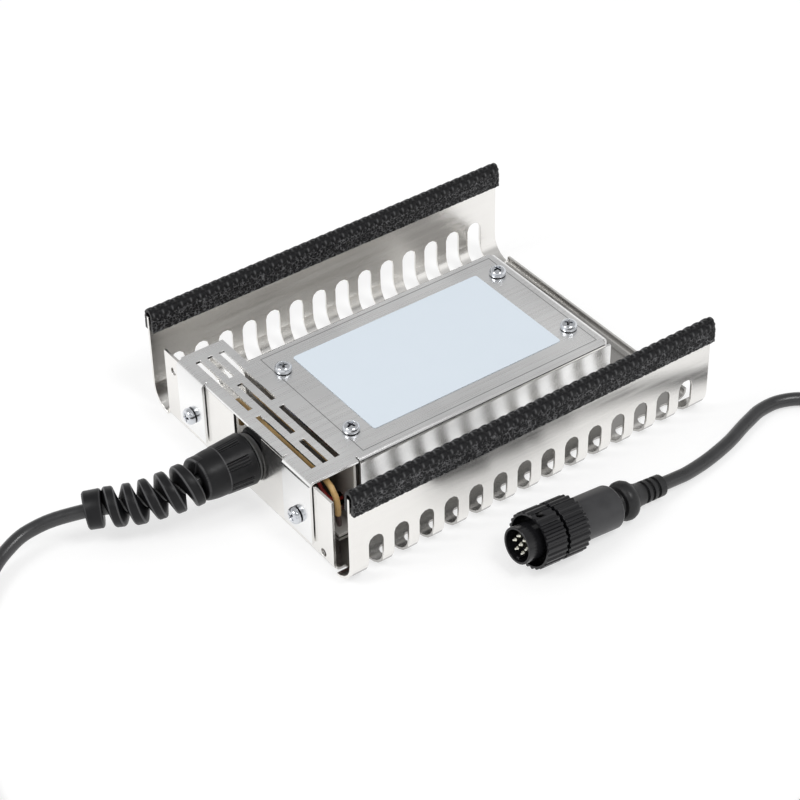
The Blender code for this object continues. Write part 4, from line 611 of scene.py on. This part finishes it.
def lead_line(walked):
    """Points on the lead's middle line at these distances from its first point, with its unit
    direction and two unit normals there. Between four stations the line is a cubic spline."""
    p = np.array(RELIEF_SIDE[:14], float)
    u = np.linspace(0, 1, 40, endpoint=False)[None, :, None]
    a, b, c, d = (p[k:len(p) - 3 + k, None] for k in range(4))
    square, cube = 2 * a - 5 * b + 4 * c - d, 3 * (b - c) + d - a
    dense = 0.5 * (2 * b + (c - a) * u + square * u ** 2 + cube * u ** 3)
    dense = np.vstack([p[:1], dense.reshape(-1, 3)])
    length = np.concatenate([[0], np.linalg.norm(np.diff(dense, axis=0), axis=1).cumsum()])
    centre = np.stack([np.interp(walked, length, line) for line in dense.T], axis=-1)
    slope = np.stack([np.interp(walked, length, np.gradient(line, length)) for line in dense.T], axis=-1)
    slope /= np.linalg.norm(slope, axis=-1)[..., None]
    up = np.array([0, 0, 1.0]) - slope * slope[..., 2:]
    up /= np.linalg.norm(up, axis=-1)[..., None]
    return centre, slope, up, np.cross(slope, up)


def about_lead(walked, angle, radius):
    """Points at this distance along the lead, angle and radius about it."""
    centre, slope, up, side = lead_line(walked)
    return centre + radius[..., None] * (np.cos(angle)[..., None] * up + np.sin(angle)[..., None] * side)


def spiral_surface(start):
    """Grid of the spiral: a ribbon of trapezoid section, with corners of (offset, radius, painted
    highlight), wound on a helix, whose crest carries the painted highlight. Its turns are the distance
    along the lead over the pitch, and its outer radius shrinks evenly with that distance. Rows go
    along the helix and columns round the section."""
    # The third value of each corner is painted highlight, lightest on the crest.
    side = np.array([(2.8, 2.6, 0), (1.8, 6.9, 0), (1.67, 7.35, 0.1), (1.57, 7.6, 1), (1.25, 7.9, 1),
                     (1.05, 8.0, 0)])
    section = np.vstack([side * [-1, 1, 1], side[::-1]])
    walk = np.linspace(0, SPIRAL_LENGTH, 420)
    shrink = 1 - SPIRAL_TAPER * walk / SPIRAL_LENGTH
    along = start + walk[:, None] + section[None, :, 0]
    radius = np.where(section[None, :, 1] > 3, section[None, :, 1] * shrink[:, None], section[None, :, 1])
    angle = np.broadcast_to(2 * math.pi * walk[:, None] / SPIRAL_PITCH, radius.shape)
    return about_lead(along, angle, radius), np.broadcast_to(section[None, :, 2], radius.shape)


def collar_surface(start):
    """Grid of the collar: rings of (distance, radius, painted highlight) along the lead, by angle,
    closed through its bore. Its two rims carry the painted highlight."""
    # The third value of each ring is painted highlight, on the collar's two rims.
    rings = np.array([(0, 5.9, 0), (0.25, 6.35, 0.6), (0.7, 6.6, 0), (5.1, 6.5, 0), (5.5, 6.3, 0.6),
                      (5.9, 5.7, 0), (5.9, 2.6, 0), (0, 2.6, 0)])
    angle = np.linspace(0, 2 * math.pi, 97)[None, :-1]
    shape = (len(rings), angle.shape[1])
    along = np.broadcast_to(start + rings[:, :1], shape)
    grid = about_lead(along, np.broadcast_to(angle, shape), np.broadcast_to(rings[:, 1:2], shape))
    return grid, np.broadcast_to(rings[:, 2:], shape)


def moulded(name, dark, light, gloss, level):
    """Moulded plastic between two tones, with a painted grey highlight where the mesh carries one.
    Gloss is its least and most roughness, and level is how much it reflects."""
    made = finish(name, light, 0, gloss[0], **{"Specular IOR Level": level})
    flow = patches(made, 300, 3)
    skin = shade(made, flow, dark, light)
    # Painted highlight: grey is laid over the skin wherever the mesh carries one.
    surface(made, laid_over(made, carried(made, "worn"), skin, (0.085, 0.085, 0.088)),
            spread(made, flow, *gloss), patches(made, 3000, 3), 0.01 * MM)
    return made


nylon = moulded("black_nylon", (0.004, 0.004, 0.005), (0.011, 0.011, 0.012), (0.32, 0.46), 0.26)
soft_black = moulded("soft_black", (0.009, 0.009, 0.01), (0.02, 0.02, 0.021), (0.34, 0.5), 0.4)
# Painted light: a lighter grey copy of the black nylon, standing in for the lit face of the gland body.
painted_lit_nylon = moulded("painted_lit_nylon", (0.09, 0.09, 0.09), (0.13, 0.13, 0.13), (0.4, 0.5), 0.35)
spiral_start = RELIEF_SIDE[0][0] - GLAND_PLACE[0] + NUT_ENDS[1] - SPIRAL_SUNK
for piece_name, (grid, high) in (
    ("cap_nut", nut_surface()),
    ("relief_spiral", spiral_surface(spiral_start)),
    ("relief_collar", collar_surface(spiral_start + SPIRAL_LENGTH + COLLAR_GAP)),
):
    closed = piece_name != "relief_spiral"
    seat(woven(piece_name, grid * MM, close_rows=closed, turn=30, worn=high),
         nylon, "black_nylon", "dome_nut")
seat(merged_copy("gland_body", edge=0.12 * MM), painted_lit_nylon, "black_nylon", "gland_body")
seat(merged_copy("gland_lock_nut", edge=0.12 * MM), nylon, "black_nylon", "gland_lock_nut")
seat(merged_copy("gland_seal", edge=0.1 * MM), soft_black, "soft_rubber", "gland_seal")
seat(merged_copy("cord_tie", edge=0.1 * MM), nylon, "black_nylon", "cord_tie")


# Wires: stranded copper in coloured plastic. They are four thin cores from the lead's end, the
# heater's dark lead, and one in a tan woven glass sleeve, which arches under the vents and dips
# out past the near ear.
def wire_finish(name, dark, light):
    """Wire jacket whose colour runs between two tones, with a slight sheen."""
    made = finish(name, light, 0, 0.4)
    tone = patches(made, 500, 3)
    surface(made, shade(made, tone, dark, light), spread(made, tone, 0.34, 0.5), tone, 0.02 * MM)
    return made


for node, slot, dark, light in (
    ("core_red", "core_red", (0.32, 0.02, 0.02), (0.50, 0.05, 0.04)),
    ("core_blue", "core_blue", (0.02, 0.03, 0.25), (0.04, 0.07, 0.42)),
    ("core_white", "core_white", (0.60, 0.60, 0.56), (0.78, 0.78, 0.74)),
    ("core_earth", "core_earth", (0.20, 0.28, 0.03), (0.45, 0.40, 0.05)),
    ("heater_lead", "lead_brown", (0.03, 0.012, 0.012), (0.07, 0.03, 0.025)),
    ("sleeved_lead", "glass_fibre_sleeve", (0.50, 0.30, 0.10), (0.74, 0.50, 0.22)),
):
    seat(merged_copy(node, edge=0, turn=50), wire_finish(f"{node}_jacket", dark, light), slot, node)


# Plug: a seven pin round plug in satin black plastic. The bayonet ring at its mouth turns on the
# insert, a clamping ring and a sleeve close it, and a soft boot carries the lead out.
plug_black = finish("plug_black", (0.02, 0.02, 0.022), 0, 0.22, **{"Specular IOR Level": 0.4})
plug_flow = patches(plug_black, 260, 3)
surface(plug_black, shade(plug_black, plug_flow, (0.006, 0.006, 0.007), (0.014, 0.014, 0.016)),
        spread(plug_black, plug_flow, 0.14, 0.26), patches(plug_black, 3000, 3), 0.008 * MM)
contact = finish("contact_metal", (0.80, 0.79, 0.70), 1, 0.14)
contact_bloom = patches(contact, 900, 2)
surface(contact, shade(contact, contact_bloom, (0.74, 0.73, 0.63), (0.86, 0.85, 0.78)),
        spread(contact, contact_bloom, 0.10, 0.22))
seat(merged_copy("coupling_ring", edge=0.12 * MM), plug_black, "plug_plastic", "coupling_ring", body="ring")
satin_black = moulded("satin_black", (0.026, 0.026, 0.028), (0.045, 0.045, 0.048), (0.3, 0.42), 0.5)
for node in ("plug_insert", "clamping_ring"):
    seat(merged_copy(node, edge=0.12 * MM), plug_black, "plug_plastic", node)
seat(merged_copy("plug_sleeve", edge=0.12 * MM), satin_black, "plug_plastic", "plug_sleeve")
seat(merged_copy("plug_boot", edge=0.08 * MM), soft_black, "soft_rubber", "plug_boot")
for number in range(1, 8):
    seat(merged_copy(f"plug_pin_{number}", edge=0.05 * MM), contact, "pin_metal", f"plug_pin_{number}")


# Studio: a wide pale floor in a white room whose ceiling is grey, with two broad soft lamps. The
# floor and the room show white to the camera and in reflections, and the floor keeps its shadow.
FLOOR_HALF = 3.0
FLOOR_DROP = 0.15 * MM
FLOOR_GLOW = 0.62
ROOM_LIGHT = 0.62
corners = np.array([(-1, -1, 0), (1, -1, 0), (1, 1, 0), (-1, 1, 0)]) * FLOOR_HALF
corners[:, 2] = -FLOOR_DROP
floor_mesh = bpy.data.meshes.new("floor")
floor_mesh.from_pydata(corners.tolist(), [], [(0, 1, 2, 3)])
floor = bpy.data.objects.new("floor", floor_mesh)
bpy.context.scene.collection.objects.link(floor)


def shown_ray(owner):
    """1 for rays from the camera, in a mirror or through glass, and 0 for all others. The second
    output is 1 for rays from the camera alone."""
    rays = add(owner, "LightPath").outputs
    seen = combine(owner, "MAXIMUM", rays["Is Camera Ray"], rays["Is Glossy Ray"])
    return combine(owner, "MAXIMUM", seen, rays["Is Transmission Ray"]), rays["Is Camera Ray"]


paper = bpy.data.materials.new("white_paper")
paper.use_nodes = True
paper.node_tree.nodes.clear()
shown = shown_ray(paper)[0]
pale = add(paper, "BsdfDiffuse", {"Color": (0.42, 0.42, 0.42, 1)})
glow = add(paper, "Emission", {"Color": (1, 1, 1, 1), "Strength": FLOOR_GLOW})
lit = add(paper, "AddShader", {0: pale.outputs[0], 1: glow.outputs[0]})
bounce = add(paper, "BsdfDiffuse", {"Color": (0.7, 0.7, 0.7, 1)})
both = add(paper, "MixShader", {0: shown, 1: bounce.outputs[0], 2: lit.outputs[0]})
wire(paper, both.outputs[0], add(paper, "OutputMaterial").inputs["Surface"])
floor_mesh.materials.append(paper)

world = bpy.data.worlds.new("white_room")
world.use_nodes = True
bpy.context.scene.world = world
world.node_tree.nodes.clear()
shown, direct = shown_ray(world)
aim = add(world, "SeparateXYZ", {"Vector": add(world, "TexCoord").outputs["Generated"]})
ceiling = add(world, "MapRange", {"Value": aim.outputs["Z"], "From Min": 0.25, "From Max": 0.6,
                                  "To Min": 1.0, "To Max": 0.5}, interpolation_type="SMOOTHSTEP")
brightness = combine(world, "MAXIMUM", ceiling.outputs["Result"], direct)
room = add(world, "Background", {"Color": (1, 1, 1, 1), "Strength": ROOM_LIGHT})
white = add(world, "Background", {"Color": (1, 1, 1, 1), "Strength": brightness})
both = add(world, "MixShader", {0: shown, 1: room.outputs[0], 2: white.outputs[0]})
wire(world, both.outputs[0], add(world, "OutputWorld").inputs["Surface"])

for lamp_name, place, size, power in (
    ("lamp_left", (-1.1, 0.1, 1.1), 0.5, 6.0),
    ("lamp_front", (0.2, -0.9, 1.5), 0.5, 8.0),
):
    light = bpy.data.lights.new(lamp_name, "AREA")
    light.shape = "SQUARE"
    light.size = size
    light.energy = power
    lamp = bpy.data.objects.new(lamp_name, light)
    bpy.context.scene.collection.objects.link(lamp)
    lamp.location = place
    lamp.rotation_euler = (-Vector(place)).to_track_quat("-Z", "Y").to_euler()
bpy.context.scene.view_settings.view_transform = "Standard"
